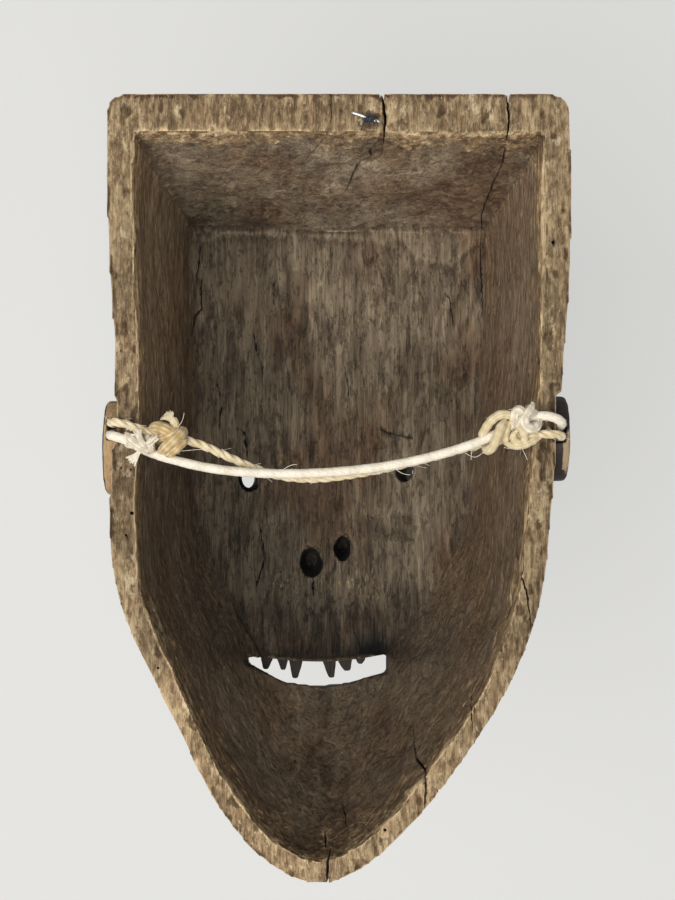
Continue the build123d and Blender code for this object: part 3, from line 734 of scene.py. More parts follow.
# Cracks follow the surface: their line, widest opening and depth.
CRACKS = [
    ([(-14.7, 15.6), (-10.9, 20.3), (-11.3, 22.5), (-6.6, 25.2), (-2, 35)], 1.4, 2.4),
    ([(-59.5, 15), (-58, 24.7), (-54.5, 32.2), (-50.6, 42.5), (-50.2, 52)], 1, 2),
    ([(-50.2, 51), (-49.9, 59.1), (-50.6, 69.8), (-50.9, 79)], 0.7, 1.6),
    ([(-53.4, 44), (-52.4, 57.7), (-51.8, 72), (-51.9, 80)], 0.4, 1),
    ([(4.4, 14.2), (7, 18), (10.5, 22), (15.1, 26.8)], 0.9, 1.4),
    ([(-62.7, 153), (-63, 162.5), (-64.1, 170.3), (-66.6, 177.4), (-67.6, 185.5), (-68, 194)], 0.7, 3),
    ([(-26.1, 226), (-27.2, 235.9), (-30.4, 240.2), (-30.7, 247.3), (-30, 256.5)], 0.9, 4),
    ([(-47.4, 209.3), (-46.7, 217.5), (-47.4, 226.7)], 0.6, 2),
    ([(-0.9, 252), (-2, 256), (-2.7, 260.8)], 0.7, 2),
    ([(5.1, 262), (4.9, 264.5), (5.1, 268)], 0.8, 3),
    ([(49.5, 54.8), (49.9, 62), (51, 64.8)], 0.7, 1.4),
    ([(49.2, 65.8), (48.8, 76.2), (51.1, 79), (52.4, 86.1)], 0.8, 1.6),
    ([(23.3, 67), (23.4, 74.8)], 0.4, 0.8),
    ([(-37.4, 71.2), (-39.2, 72.6), (-39.6, 76.2), (-40.5, 82.5)], 0.8, 1.8),
    ([(27.9, 154.3), (26.8, 165.6), (28.9, 173.5)], 0.5, 1),
    ([(30.7, 84.7), (29.3, 91.1), (27.5, 97.5)], 0.35, 0.7),
    ([(36.9, 118), (33.4, 121), (32.5, 131)], 0.5, 0.9),
    ([(9.4, 172), (9.2, 178)], 0.8, 2),
    ([(-14.4, 119.5), (-20.4, 121.3), (-26, 122.6)], 0.4, 0.8),
    ([(-1, 94), (-3.2, 104), (-2.8, 112)], 0.35, 0.7),
    ([(43.6, 101), (42, 112), (42.6, 118)], 0.4, 0.8),
]
# Beetle holes: place and width.
BEETLE_HOLES = [
    (-47.4, 17.6, 1), (-75.8, 52.8, 1.2), (-71.2, 97.1, 1.2), (-77.2, 107.4, 0.8), (73.7, 149, 1.3),
    (75.8, 156.8, 0.9), (64.4, 204, 1), (15.8, 237, 1), (-35.3, 247.7, 1.2), (-16.2, 261.5, 1.1),
    (-25, 248.4, 0.9), (-32.1, 201.1, 0.8), (-36.4, 199.7, 1), (77.5, 133, 0.7), (74, 133.5, 0.7),
    (-54.5, 25.1, 0.9), (-39.6, 43.5, 0.8), (66.9, 113, 0.9),
]
# Gouged scoops: middle, half width, half height, turn in degrees and depth.
SCOOPS = [
    (-21.5, 154, 10, 4, -6, 0.9), (44.5, 178, 4, 13, 18, 1.1), (34, 150, 4, 16, -8, 0.6),
    (-43.8, 77, 3.6, 12, -20, 0.9), (-33, 79, 3.2, 7, 0, 0.8), (-12.5, 78, 5, 7, 10, 0.7),
    (-56, 180, 12, 5, 48, 0.7), (-50, 214, 4, 14, -28, 0.6), (26, 92, 5, 13, 8, 0.7),
    (8, 104, 5, 16, -4, 0.6), (-30, 40, 13, 4, 8, 0.9), (20, 38, 12, 4.5, -6, 0.8),
    (-6, 28, 14, 3.5, 4, 0.6), (41, 232, 4, 15, 33, 0.5), (-16, 238, 5, 14, -20, 0.5),
]
# Painted light and shade in the hollow, with some of its grime: middle, half width, half height and how
# much darker or lighter.
PAINTED_LIGHT_AND_GRIME = [
    (50, 40, 16, 9, -0.1), (66, 70, 9, 45, 0.58), (-62, 90, 12, 70, 0.42), (6, 225, 46, 30, 0.24),
    (60, 165, 12, 34, -0.04), (36, 80, 16, 36, -0.3), (32, 150, 22, 26, -0.36), (8, 170, 26, 16, -0.34),
    (10, 193, 32, 11, -0.42), (-30, 190, 14, 14, -0.14), (-6, 108, 30, 20, -0.14),
    (36, 222, 22, 22, -0.12), (-22, 226, 18, 24, -0.26), (2, 244, 22, 18, -0.12),
    (-60, 150, 12, 40, -0.22), (-14, 72, 30, 14, 0.26), (24, 28, 34, 10, 0.92), (9, 198.5, 30, 2, -0.3),
    (-13, 196, 5, 4, -0.35), (-30, 30, 24, 11, 0.82), (66, 150, 10, 30, -0.12), (6, 250, 16, 14, -0.16),
]
# Shades of the rim, in the same way.
RIM_SHADES = [
    (-74, 100, 9, 22, -0.16), (-66, 192, 10, 18, -0.18), (-44, 226, 10, 12, -0.12),
    (66, 196, 10, 12, -0.12), (74, 30, 6, 22, -0.12),
]
# Pale scratches: middle, half width and half height.
SCRATCHES = [
    (21.5, 173.5, 5, 2.4), (-4, 174, 6.5, 2.2), (-13, 175.5, 3, 2.6), (-10.5, 150, 4.5, 1.2),
    (-28, 49, 14, 1.8), (-14, 80, 9, 1.2), (34, 30, 12, 4),
]
# The eyes, nostrils and mouth keep crisp edges: middle, half width and half height.
OPENINGS = [
    (32, 136, 7, 8), (-21.5, 133.5, 7, 8), (10, 171, 7, 8), (-1.5, 165, 6, 7), (8, 203, 26, 9),
]
# The foot of the top wall ends in a chipped ledge: how far down it reaches along the floor.
LEDGE = [(-52, 52), (-46, 56), (-40, 61), (-27, 59), (-22, 52), (-16, 54.5), (-2, 52), (16, 51), (30, 50)]
LEDGE += [(52, 52)]


def seen(side, depth, down):
    """Where the lines of sight to points cross the rim's plane."""
    reach = VIEW_DISTANCE / (VIEW_DISTANCE + depth)
    return VIEW_SIDE + (side - VIEW_SIDE) * reach, VIEW_DOWN + (down - VIEW_DOWN) * reach


def box_faces(bm, side, depth, down):
    """Adds a closed box given by its ranges in millimetres."""
    corners = [bm.verts.new(place_mm(*corner)) for corner in itertools.product(side, depth, down)]
    for face in ((0, 1, 3, 2), (4, 6, 7, 5), (0, 4, 5, 1), (2, 3, 7, 6), (0, 2, 6, 4), (1, 5, 7, 3)):
        bm.faces.new([corners[i] for i in face])


def range_mm(node, grow=0.3):
    """A node's ranges of side, depth and down, in millimetres, grown all round."""
    low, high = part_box(node)
    side = ((low.x - MIDDLE_X) / MM - grow, (high.x - MIDDLE_X) / MM + grow)
    depth = (-high.y / MM - grow, -low.y / MM + grow)
    down = ((TOP_Z - high.z) / MM - grow, (TOP_Z - low.z) / MM + grow)
    return side, depth, down


def even_block(detail):
    """The block's solid as an even mesh, with its slits, sockets and staple holes filled."""
    bm = bmesh.new()
    bm.from_mesh(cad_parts["mask_shell"].data)
    for line, _, reach in RIM_SLITS[:3]:
        inner = [(side, down) for side, down in line if 1 < down < 281]
        sides = [side for side, _ in inner]
        top, bottom = (0.7, 13.0) if inner[0][1] < 100 else (273.0, 280.2)
        box_faces(bm, (min(sides) - 1.2, max(sides) + 1.2), (0.7, reach + 0.6), (top, bottom))
    side, depth, down = range_mm("hanging_staple", 1.0)
    box_faces(bm, (side[0] - 1, side[1] + 1), (0.6, depth[1]), (down[0] - 1.5, down[1] + 1.5))
    lip_down = range_mm("tooth_1", 0.0)[2][0] + 7.0
    for number in range(1, 7):
        side, depth, down = range_mm(f"tooth_{number}")
        box_faces(bm, side, depth, (down[0], lip_down - 2.0))
    mesh = bpy.data.meshes.new("block")
    bm.to_mesh(mesh)
    bm.free()
    obj = add_object("carved_block", mesh)
    modify(obj, "REMESH", mode="VOXEL", voxel_size=detail)
    return obj


def parts_of_block(points, normals):
    """How much each point belongs to the hollow, the rim and the outside, from 0 to 1."""
    side, depth, down = points.T
    to_middle = np.stack((4 - side, 30 - depth, 115 - down), axis=1)
    to_middle /= np.linalg.norm(to_middle, axis=1)[:, None]
    facing = (to_middle * normals).sum(axis=1)
    rim = smooth_rise(-normals[:, 1], 0.55, 0.85) * (1 - smooth_rise(depth, 1.5, 4.0))
    hollow = smooth_rise(facing, -0.10, 0.12) * (1 - rim)
    hollow *= 1 - smooth_rise(depth, 86.0, 90.0)
    return hollow, rim, (1 - hollow) * (1 - rim)


def hollow_relief(points, normals, hollow, rim):
    """How far tool marks and wear raise each point of the hollow and the rim, in mm."""
    side, depth, down = points.T
    u, v = seen(side, depth, down)
    wander = soft_noise(points, (9, 9, 16), 11, 2)
    drift = soft_noise(points, (14, 14, 30), 12, 2)
    floor = smooth_rise(-normals[:, 1], 0.35, 0.80) * smooth_rise(depth, 45, 60)
    roof = smooth_rise(normals[:, 2], 0.35, 0.70)
    bowl = smooth_rise(down, 205, 225)
    cuts = tool_cuts(u + 1.2 * wander, v + 4 * drift, 8.0, 34, 1)
    small_cuts = tool_cuts(u + 0.8 * wander, v + 2.5 * drift, 4.2, 15, 2)
    cross_cuts = tool_cuts(u + 3 * drift, v + 1.0 * wander, 26, 6.5, 3)
    grain = soft_noise(points, (1.9, 1.9, 24), 13, 2)
    rough = soft_noise(points, (3.5, 3.5, 5), 14, 3)

    chips = smooth_rise(tool_cuts(u + 0.8 * wander, v + 2 * drift, 3.4, 9, 7), 0.45, 0.95)
    chips *= smooth_rise(soft_noise(points, (16, 16, 26), 17, 2), 0.0, 0.35)
    raised = floor * (1 - 0.45 * bowl) * (0.72 * cuts + 0.36 * small_cuts + 0.16 * grain - 0.25 * chips)
    raised += roof * (0.60 * cross_cuts + 0.30 * rough + 0.16 * small_cuts - 0.2 * chips)
    walls = (1 - floor) * (1 - roof)
    raised += walls * (0.55 * cuts + 0.26 * grain + 0.24 * rough + 0.30 * small_cuts)
    ledge = np.interp(u, *zip(*LEDGE)) + 1.2 * wander
    broken = 0.5 + 0.5 * smooth_rise(drift, -0.3, 0.3)
    raised += 1.0 * floor * broken * (1 - smooth_rise(v, ledge - 1.6, ledge + 1.6))
    for *oval, deep in SCOOPS:
        raised -= deep * smooth_rise(hill(u, v, *oval), 0.25, 0.75)
    # The recess behind the upper lip.
    inside = smooth_rise(u, -19, -13) * (1 - smooth_rise(u, 39.5, 41.5))
    inside *= smooth_rise(v, 176, 186) * (1 - smooth_rise(v, 203.5, 206.5))
    raised -= 2.0 * floor * inside
    low_edge = 0.28 * soft_noise(points, (6, 6, 9), 15) + 0.14 * soft_noise(points, (1.5, 1.5, 5), 16, 2)
    low_edge -= 0.35 * smooth_rise(soft_noise(points, (4, 4, 7), 18, 2), 0.45, 0.8)
    return hollow * raised + rim * (low_edge - 0.15)


def face_relief(points, outside, normals):
    """How far the carved front stands out at each point, in mm: lids, wings, cheeks, lips."""
    side, depth, down = points.T
    front = outside * smooth_rise(normals[:, 1], 0.25, 0.6) * smooth_rise(depth, 55, 75)
    oval = functools.partial(hill, side, down)
    cheeks = sum(4.5 * oval(4 + way * 36, 184, 16, 17) for way in (-1, 1))
    sockets = sum(
        -3.2 * oval(2.5 + way * 37, 140, 17, 12) - 2.2 * oval(4 + way * 15, 130, 6, 10) for way in (-1, 1)
    )
    wings = sum(3.0 * oval(5.2 + way * 12.5, 175, 4.5, 5) for way in (-1, 1))
    lips = 3.4 * oval(9.2, 208, 17, 3.2) + 3.8 * oval(9.8, 233, 15, 4.2)
    lips -= 1.6 * oval(9.6, 243, 15, 3.5)
    furrow = -1.2 * oval(7.5, 195, 2.5, 8)
    folds = sum(
        -1.5 * smooth_rise(3.2 - distance_to(side, down, line), 0, 3.2)
        for line in ([(24, 178), (33, 192), (41, 208)], [(-13, 178), (-21, 192), (-25, 208)])
    )
    brow_ends = 1.5 * oval(4, 108, 60, 7)
    chin = 3.5 * oval(7.4, 256, 12, 9)
    marks = 0.22 * tool_cuts(side, down, 9, 12, 4)
    return front * (cheeks + sockets + wings + lips + furrow + folds + brow_ends + chin + marks)


def shape_block(obj, detail):
    """Softens, carves and wears the block's even mesh."""
    mesh = obj.data
    raw, points, normals = survey(mesh)
    hollow, rim, outside = parts_of_block(points, normals)
    side, depth, down = points.T

    front = outside * smooth_rise(depth, 70, 84) * smooth_rise(normals[:, 1], -0.2, 0.3)
    u, v = seen(side, depth, down)
    kept = sum(hill(u, v, *opening) for opening in OPENINGS).clip(0, 1)
    corners = hollow * smooth_rise(depth, 6, 20) * (1 - smooth_rise(kept, 0.15, 0.5))
    for rounds, places in ((10, front), (round(26 * (USUAL_DETAIL / detail) ** 2), corners)):
        raw += (spread(mesh, raw, rounds) - raw) * (0.9 * places)[:, None]
    write_points(mesh, raw)

    lift = hollow_relief(points, normals, hollow, rim)
    lift += face_relief(points, outside, normals)
    edge = bulge(mesh, 6)
    knocks = soft_noise(points, (7, 7, 9), 21, 3)
    chips = smooth_rise(soft_noise(points, (4, 4, 6), 22, 2), 0.35, 0.9)
    near_rim = 1 - smooth_rise(depth, 5, 12)
    wear = spread(mesh, np.clip(edge, 0, 0.6) / 0.6, 5)
    lift -= near_rim * wear * (0.6 + 0.9 * np.maximum(knocks, 0) + 0.5 * chips)
    lift += outside * (1 - front) * (0.20 * tool_cuts(down, depth, 16, 11, 5) + 0.12 * knocks)
    # The ears' seats keep their shape.
    for ear in ("left_ear", "right_ear"):
        _, (_, depth_1), (down_0, down_1) = range_mm(ear, 2)
        seat = 1 - smooth_rise(depth, depth_1 - 1, depth_1 + 5)
        seat *= smooth_rise(down, down_0 - 5, down_0 + 1) * (1 - smooth_rise(down, down_1 - 1, down_1 + 5))
        lift *= 1 - 0.85 * seat * outside
    raise_points(mesh, raw, lift)


def shades_at(u, v, table):
    """How much a table of soft ovals darkens or lightens each point."""
    return sum(amount * hill(u, v, *oval) for *oval, amount in table)


def paint_block(mesh):
    """Writes the block's finish to its vertices: bare rim, paint, wear, grime with painted shade in
    creases, and random brightness with painted light and shade.
    """
    _, points, normals = survey(mesh)
    hollow, rim, outside = parts_of_block(points, normals)
    side, depth, down = points.T
    u, v = seen(side, depth, down)
    fine, broad = bulge(mesh, 3), bulge(mesh, 24)
    ragged = soft_noise(points, (6, 6, 12), 31)
    blots = soft_noise(points, (13, 13, 20), 32)
    reach = 2.2 + 2.2 * ragged + 1.6 * blots + 2.5 * smooth_rise(down, 200, 250)
    bare = np.maximum(rim, hollow * (1 - smooth_rise(depth, reach - 1.2, reach + 1.4)))
    strip = 2.4 + 1.6 * ragged + 1.4 * blots
    bare = np.maximum(bare, outside * (1 - smooth_rise(depth, strip - 0.8, strip + 0.8)))
    low_side = smooth_rise(down, 150, 215)
    thinning = 1 - smooth_rise(depth, 2, 24 + 12 * ragged + 12 * blots + 24 * low_side)
    bare = np.maximum(bare, 0.64 * hollow * thinning)
    bare *= 1 - 0.35 * rim * smooth_rise(blots, 0.45, 0.9)
    painted = outside * smooth_rise(depth, strip - 0.6, strip + 0.8)
    # Random brightness, plus the hollow's painted light and shade from its table.
    tone = 1.0 + 0.07 * soft_noise(points, (22, 22, 30), 33) + shades_at(u, v, PAINTED_LIGHT_AND_GRIME)
    sides = smooth_rise(np.abs(u - 4), 55, 62) * smooth_rise(v, 14, 40) * (1 - smooth_rise(v, 190, 240))
    # Painted shade at the bottom of the hollow and on the inner walls of the eye and nostril holes, which
    # also lose their paint.
    deep = smooth_rise(depth, 80, 90) * hollow
    hole_shade = sum(hill(u, v, *opening) for opening in OPENINGS[:4]).clip(0, 1)
    round_it = smooth_rise(depth, 70, 76) * (1 - smooth_rise(depth, 88, 92))
    round_it *= 1 - smooth_rise(np.abs(normals[:, 1]), 0.5, 0.8)
    at_its_end = smooth_rise(depth, 84, 88) * smooth_rise(-normals[:, 1], 0.3, 0.6)
    hole_shade = smooth_rise(hole_shade, 0.3, 0.6) * np.maximum(round_it, at_its_end)
    tone = 1 + (tone - 1) * hollow - 0.17 * sides * (1 - hollow) * (1 - outside)
    tone -= 0.8 * np.maximum(deep, hole_shade)
    tone += rim * (0.13 * soft_noise(points, (15, 15, 22), 34, 2) - 0.08 + shades_at(u, v, RIM_SHADES))
    walls = hollow * (1 - smooth_rise(-normals[:, 1], 0.35, 0.75))
    walls *= 1 - smooth_rise(normals[:, 2], 0.3, 0.6)
    set_attributes(
        mesh,
        side_wall=walls * (1 - 0.6 * smooth_rise(v, 195, 225)),
        scratched=sum(hill(u, v, *scratch) for scratch in SCRATCHES) * hollow,
        bare_rim=bare,
        painted=painted * (1 - hole_shade),
        edge_wear=np.clip(3.2 * fine, 0, 0.8) + np.clip(0.45 * broad, 0, 0.7) * outside,
        # Creases: grime, and painted shade.
        hollow_dirt=np.clip(-3.5 * fine, 0, 1) + 0.3 * np.clip(-broad, 0, 1),
        tone=tone,
    )


def wedge(pile, line, into, widths, depths):
    """Adds a closed sliver along a line: wide above the surface and narrow at its foot."""
    across = np.cross(np.gradient(line, axis=0), into)
    across /= np.linalg.norm(across, axis=1)[:, None]
    rings = []
    for point, cross, way, width, deep in zip(line, across, into, widths, depths):
        lip, foot = cross * width / 2, cross * width / 7
        top, end = point - way * (0.8 * MM), point + way * deep
        rings += [top + lip * 1.2, top - lip * 1.2, end - foot, end + foot]
    last = 4 * (len(line) - 1)
    faces = ring_faces(len(line), 4) + [(3, 2, 1, 0), (last, last + 1, last + 2, last + 3)]
    pile.add(rings, faces)


def points_between(line, step):
    """Points along a line of (u, v), a step apart, its corners included."""
    made = []
    for (au, av), (bu, bv) in zip(line, line[1:]):
        count = max(1, round(math.hypot(bu - au, bv - av) / step))
        made += [(au + (bu - au) * i / count, av + (bv - av) * i / count) for i in range(count)]
    return made + [line[-1]]


def slit_pile():
    """Slivers that go straight into the rim."""
    pile = MeshPile()
    for line, width, deep in RIM_SLITS:
        line = points_between(line, 1.2)
        count = len(line)
        wobble = np.random.default_rng(count).uniform(-0.16, 0.16, count)
        spine = np.array([place_mm(u + w, 0, v) for (u, v), w in zip(line, wobble)])
        into = np.tile((-0.13, -1.0, 0.0), (count, 1))
        opening = 0.45 + 0.65 * np.sin(np.linspace(0.1, 0.9, count) * math.pi)
        wedge(pile, spine, into, width * MM * opening, np.full(count, deep * MM))
    return pile


def crack_pile(tree):
    """Slivers that follow the hollow's surface, and beetle holes."""
    pile = MeshPile()
    viewpoint = place_mm(VIEW_SIDE, -VIEW_DISTANCE, VIEW_DOWN)

    def hit(u, v):
        return tree.ray_cast(viewpoint, (place_mm(u, 0, v) - viewpoint).normalized())[:2]

    for line, width, deep in CRACKS:
        line = points_between(line, 1.1)
        rng = np.random.default_rng(int(abs(line[0][0] * 10)) + len(line))
        wobble = rng.uniform(-0.18, 0.18, (len(line), 2))
        hits = [hit(u + a, v + b) for (u, v), (a, b) in zip(line, wobble)]
        hits = [found for found in hits if found[0]]
        if len(hits) < 3:
            continue
        spine = np.array([tuple(point) for point, _ in hits])
        normal = np.array([tuple(way) for _, way in hits])
        for _ in range(6):
            padded = np.vstack((normal[:1], normal, normal[-1:]))
            normal = padded[:-2] + padded[1:-1] + padded[2:]
            normal /= np.linalg.norm(normal, axis=1)[:, None]
        taper = np.sin(np.linspace(0.12, 0.88, len(spine)) * math.pi) * rng.uniform(0.75, 1.1, len(spine))
        wedge(pile, spine, -normal, 1.05 * width * MM * taper, (0.5 + 0.7 * deep) * MM * taper)
    for u, v, width in BEETLE_HOLES:
        point, normal = hit(u, v)
        if point:
            tube(pile, [point + normal * 0.0008, point, point - normal * 0.003], width * MM / 2, 10)
    return pile


def cut(obj, pile):
    """Cuts a pile's solids out of an object."""
    tool = pile.build("cutter")
    mesh = modify(obj, "BOOLEAN", operation="DIFFERENCE", solver="MANIFOLD", object=tool)
    bpy.data.objects.remove(tool)
    return mesh


def carry_paint(painted, mesh):
    """Gives every vertex of a cut mesh the paint of the nearest uncut one, and paints shade into deep cuts.
    """
    points = read_points(painted)
    tree = KDTree(len(points))
    for index, point in enumerate(points):
        tree.insert(point, index)
    tree.balance()
    found = [tree.find(vertex.co)[1:] for vertex in mesh.vertices]
    nearest = np.array([index for index, _ in found])
    # Painted shade inside the cuts, fuller the farther a vertex lies from the uncut surface.
    cut_shade = smooth_rise(np.array([away for _, away in found]) / MM, 0.5, 1.1)
    for attribute in painted.attributes:
        if attribute.data_type == "FLOAT" and attribute.domain == "POINT":
            values = np.zeros(len(points), dtype=np.float32)
            attribute.data.foreach_get("value", values)
            values = values[nearest]
            if attribute.name == "tone":
                values = (values - 0.75 * cut_shade).astype(np.float32)
            mesh.attributes[attribute.name].data.foreach_set("value", values)


def thin_out(obj, triangles):
    """Drops the triangles that flat stretches don't need."""
    obj.data.calc_loop_triangles()
    ratio = triangles / len(obj.data.loop_triangles)
    if ratio < 1:
        modify(obj, "DECIMATE", ratio=ratio)


# ---------------------------------------------------------------- small wooden parts
def even_copy(node, name, detail):
    """A node's solid as an even mesh of its own."""
    obj = add_object(name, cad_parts[node].data.copy())
    modify(obj, "REMESH", mode="VOXEL", voxel_size=detail)
    return obj


def shape_ear(obj, way):
    """Carves an ear's rim, fold and bowl into its outer face, and roughens the rest."""
    mesh = obj.data
    raw, points, normals = survey(mesh)
    side, depth, down = points.T
    middle = (points.min(axis=0) + points.max(axis=0)) / 2
    half = (points.max(axis=0) - points.min(axis=0)) / 2
    a, b = (depth - middle[1]) / half[1], (down - middle[2]) / half[2]
    radius = np.hypot(a, b)
    face = smooth_rise(way * normals[:, 0], 0.3, 0.8)
    groove = np.exp(-0.5 * ((radius - 0.74) / 0.075) ** 2) * smooth_rise(-a - b * 0.5, -0.85, -0.3)
    bowl = hill(a, b, 0.20, -0.02, 0.30, 0.34)
    fold = hill(a, b, -0.30, -0.30, 0.13, 0.34, -20)
    lift = face * (0.5 * fold - 1.1 * groove - 2.6 * bowl)
    lift += 0.18 * tool_cuts(depth, down, 6, 7, 6 + way) * (1 - 0.6 * face)
    lift += 0.10 * soft_noise(points, (1.6, 1.6, 9), 41, 2) + 0.10 * soft_noise(points, (3, 3, 4), 42)
    lift -= 0.5 * np.clip(bulge(mesh, 8), 0, 1)
    for _, nail_depth, nail_down in nail_heads(way):
        lift *= 1 - 0.9 * hill(depth, down, nail_depth, nail_down, 1.9, 1.9)
    raise_points(mesh, raw, lift)
    # Behind this depth the left ear's edge is bare wood, and the right one is painted all over.
    split = middle[1] - 0.20 * half[1]
    back = 1.0 if way < 0 else smooth_rise(depth, split, split + 1.5)
    ragged = 0.25 * soft_noise(points, (3, 3, 5), 43)
    strip = (way < 0) * hill(depth, down, points[:, 1].min(), middle[2] + 0.45 * half[2], 4.0, 7.0)
    strip *= smooth_rise(way * side, way * middle[0] - 0.4, way * middle[0] + 0.6)
    set_attributes(
        mesh,
        painted=np.clip(np.maximum(face, back) + ragged, 0, 1),
        edge_wear=np.clip(2.2 * bulge(mesh, 5), 0, 1) + 1.2 * strip,
    )


def nail_heads(way):
    """The two nails of one ear: the side of the heads' tops, and their depth and down, in mm."""
    points = to_mm(read_points(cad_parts["ear_nails"].data))
    points = points[points[:, 0] * way > 0]
    outer = (points[:, 0] * way).max()
    heads = points[points[:, 0] * way > outer - 0.9]
    split = (heads[:, 2].min() + heads[:, 2].max()) / 2
    made = []
    for head in (heads[heads[:, 2] < split], heads[heads[:, 2] > split]):
        _, depth, down = (head.min(axis=0) + head.max(axis=0)) / 2
        made.append((outer * way, depth, down))
    return made


def nail(pile, way, side, depth, down, turn):
    """Adds a hand-cut nail: a square head with hammered facets, and its shank."""
    # How far each ring stands out from the head's top, and its half width.
    rings = [(0.0, 0.55), (-0.25, 1.30), (-0.62, 1.62), (-0.95, 1.45), (-1.0, 0.75), (-12.8, 0.45)]
    points, sides, turned = [], 8, math.radians(turn)
    for along, half in rings:
        for k in range(sides):
            angle = turned + 2 * math.pi * k / sides
            square = half / max(abs(math.cos(angle - turned)), abs(math.sin(angle - turned)))
            reach = min(square, 1.22 * half) * (1 + 0.07 * math.sin(3 * k + turn))
            a, b = depth + reach * math.cos(angle), down + reach * math.sin(angle)
            points.append(place_mm(side + way * (0.15 + along), a, b))
    last = sides * (len(rings) - 1)
    faces = ring_faces(len(rings), sides)
    faces += [tuple(range(sides))[::-1], tuple(range(last, last + sides))]
    pile.add(points, [face[::-way] for face in faces])


def shape_tooth(obj, seed):
    """Whittles a tooth: its corners taken off, flats along it and paint on its front."""
    mesh = obj.data
    raw, points, normals = survey(mesh)
    side, depth, down = points.T
    lift = 0.12 * tool_cuts(side + depth, down, 2.2, 4.5, seed)
    lift += 0.07 * soft_noise(points, (0.8, 0.8, 4), seed, 2) - 0.30 * np.clip(bulge(mesh, 10), 0, 1)
    raise_points(mesh, raw, lift)
    front = smooth_rise(normals[:, 1], 0.1, 0.6)
    set_attributes(mesh, painted=front, edge_wear=np.clip(3 * bulge(mesh, 6), 0, 1))


# ---------------------------------------------------------------- knots
def in_sight(u, v, depth):
    """The point at a depth that is seen at (u, v) on the rim's plane, all in millimetres."""
    reach = (VIEW_DISTANCE + depth) / VIEW_DISTANCE
    return place_mm(VIEW_SIDE + (u - VIEW_SIDE) * reach, depth, VIEW_DOWN + (v - VIEW_DOWN) * reach)


# The strands of the knots: the route, as (u, v, depth) in millimetres, and the diameter.
LEFT_STRAW = [
    ([(67, 118.6, -1.8), (64.8, 118.2, -5.6), (61.6, 119.4, -7.6), (58.8, 121.6, -6),
      (57.6, 123.6, -2)], 4.6),
    ([(65.2, 122.9, -2), (63, 122, -5.6), (60.4, 121.4, -7.6), (58.2, 120.2, -7),
      (57.3, 118.6, -3.5)], 3.4),
    ([(64, 127.4, -1), (62.6, 126.6, -6.2), (59.6, 124, -9), (56.6, 121.4, -7.8), (55.4, 119.8, -3.6),
      (57, 119.2, 0)], 4.3),
    ([(62, 129, -1), (60.2, 127.6, -5.4), (57.4, 125.6, -7.4), (55.4, 123.4, -5.8),
      (54.8, 121.8, -2)], 3.8),
    ([(66, 121, 0.5), (62.5, 124, 1.2), (58.5, 124, 1), (55.5, 122.6, 0)], 4.2),
]
LEFT_TAIL = [([(59.6, 120.4, -4.0), (58.2, 118.2, -5.2), (58.6, 116.4, -5.8), (59.8, 115.4, -6.0)], 3.3)]
LEFT_FRAYED = [
    ([(75.8, 120.6, -3), (74.2, 122.6, -6.4), (71.6, 125.2, -7.6), (68.6, 126.8, -6),
      (66.2, 127.2, -2.6)], 3.4),
    ([(72.6, 119.6, -2.8), (71.2, 121.4, -6.8), (70.2, 124.2, -8), (68.2, 126, -6.6)], 2.6),
    ([(76, 124.8, -2.6), (74.4, 124.9, -6.6), (71.2, 125.2, -8.4), (69, 124.4, -6.8)], 2.4),
    ([(68.6, 121, -3), (67.6, 123.2, -6.2), (66.8, 125.6, -6.6), (66.8, 127.6, -3.6)], 2.8),
    ([(68, 125.8, -6.8), (66.2, 124.4, -8.2), (64.2, 122.4, -9.2)], 0.8),
]
RIGHT_WHITE = [
    ([(-71.2, 114.8, -3.6), (-70.6, 117.8, -6.2), (-67.8, 119.4, -7.8), (-65.4, 117.4, -8.6),
      (-66, 114.2, -8), (-68.8, 112.9, -5.6), (-71, 114.4, -2.4)], 4),
    ([(-61.6, 118.4, -3.4), (-61.9, 115.4, -6.2), (-62.6, 112.6, -6.8), (-64.6, 112.4, -8),
      (-66, 115.6, -8.2)], 3.7),
    ([(-62.4, 118.8, -4.6), (-64, 117, -8), (-66.2, 113.8, -9), (-68, 111.6, -7.6),
      (-68.9, 110.5, -6.4)], 2.9),
    ([(-64.6, 119, -2), (-67.2, 120, -4.4), (-70, 118.8, -3.6), (-70.8, 116.4, -1.6)], 3.8),
]
RIGHT_STRAW = [
    ([(-63, 116.6, -3.2), (-60.6, 114.3, -5.6), (-57.6, 113.6, -6.8), (-54.2, 115.6, -6.2),
      (-51.6, 119.2, -4.4), (-50.4, 122.2, -2.2), (-51.4, 124.8, 1)], 3.3),
    ([(-59.2, 114.8, -3.6), (-57.7, 117.4, -6.6), (-56.4, 120.6, -7.6), (-55.4, 123.8, -7.2),
      (-53.8, 126.5, -5.4), (-51.8, 127, -3.2), (-51, 125.2, -0.6)], 3.4),
    ([(-61, 115.6, -2.8), (-59.6, 118.6, -5), (-58.6, 121.6, -5.2), (-59.4, 124.6, -3.6)], 3),
    ([(-61.8, 117.6, -4.8), (-63.6, 118.6, -7.4), (-65.4, 120.2, -7.2), (-66, 122.6, -6),
      (-64.4, 124.4, -5.6), (-62, 123.4, -6.4), (-61.4, 121, -6.6), (-63.2, 119.6, -8.2)], 2.9),
    ([(-58.6, 124.2, -3.2), (-61.4, 125.2, -5.8), (-65.4, 125, -6.2), (-68.8, 123.2, -4.8),
      (-71.6, 121.8, -4)], 3),
    ([(-57.4, 122.4, -1.6), (-60.6, 121.4, -3), (-64.6, 121.6, -4.4), (-68, 121.4, -4.6),
      (-71.4, 121.4, -4.2)], 3.2),
]


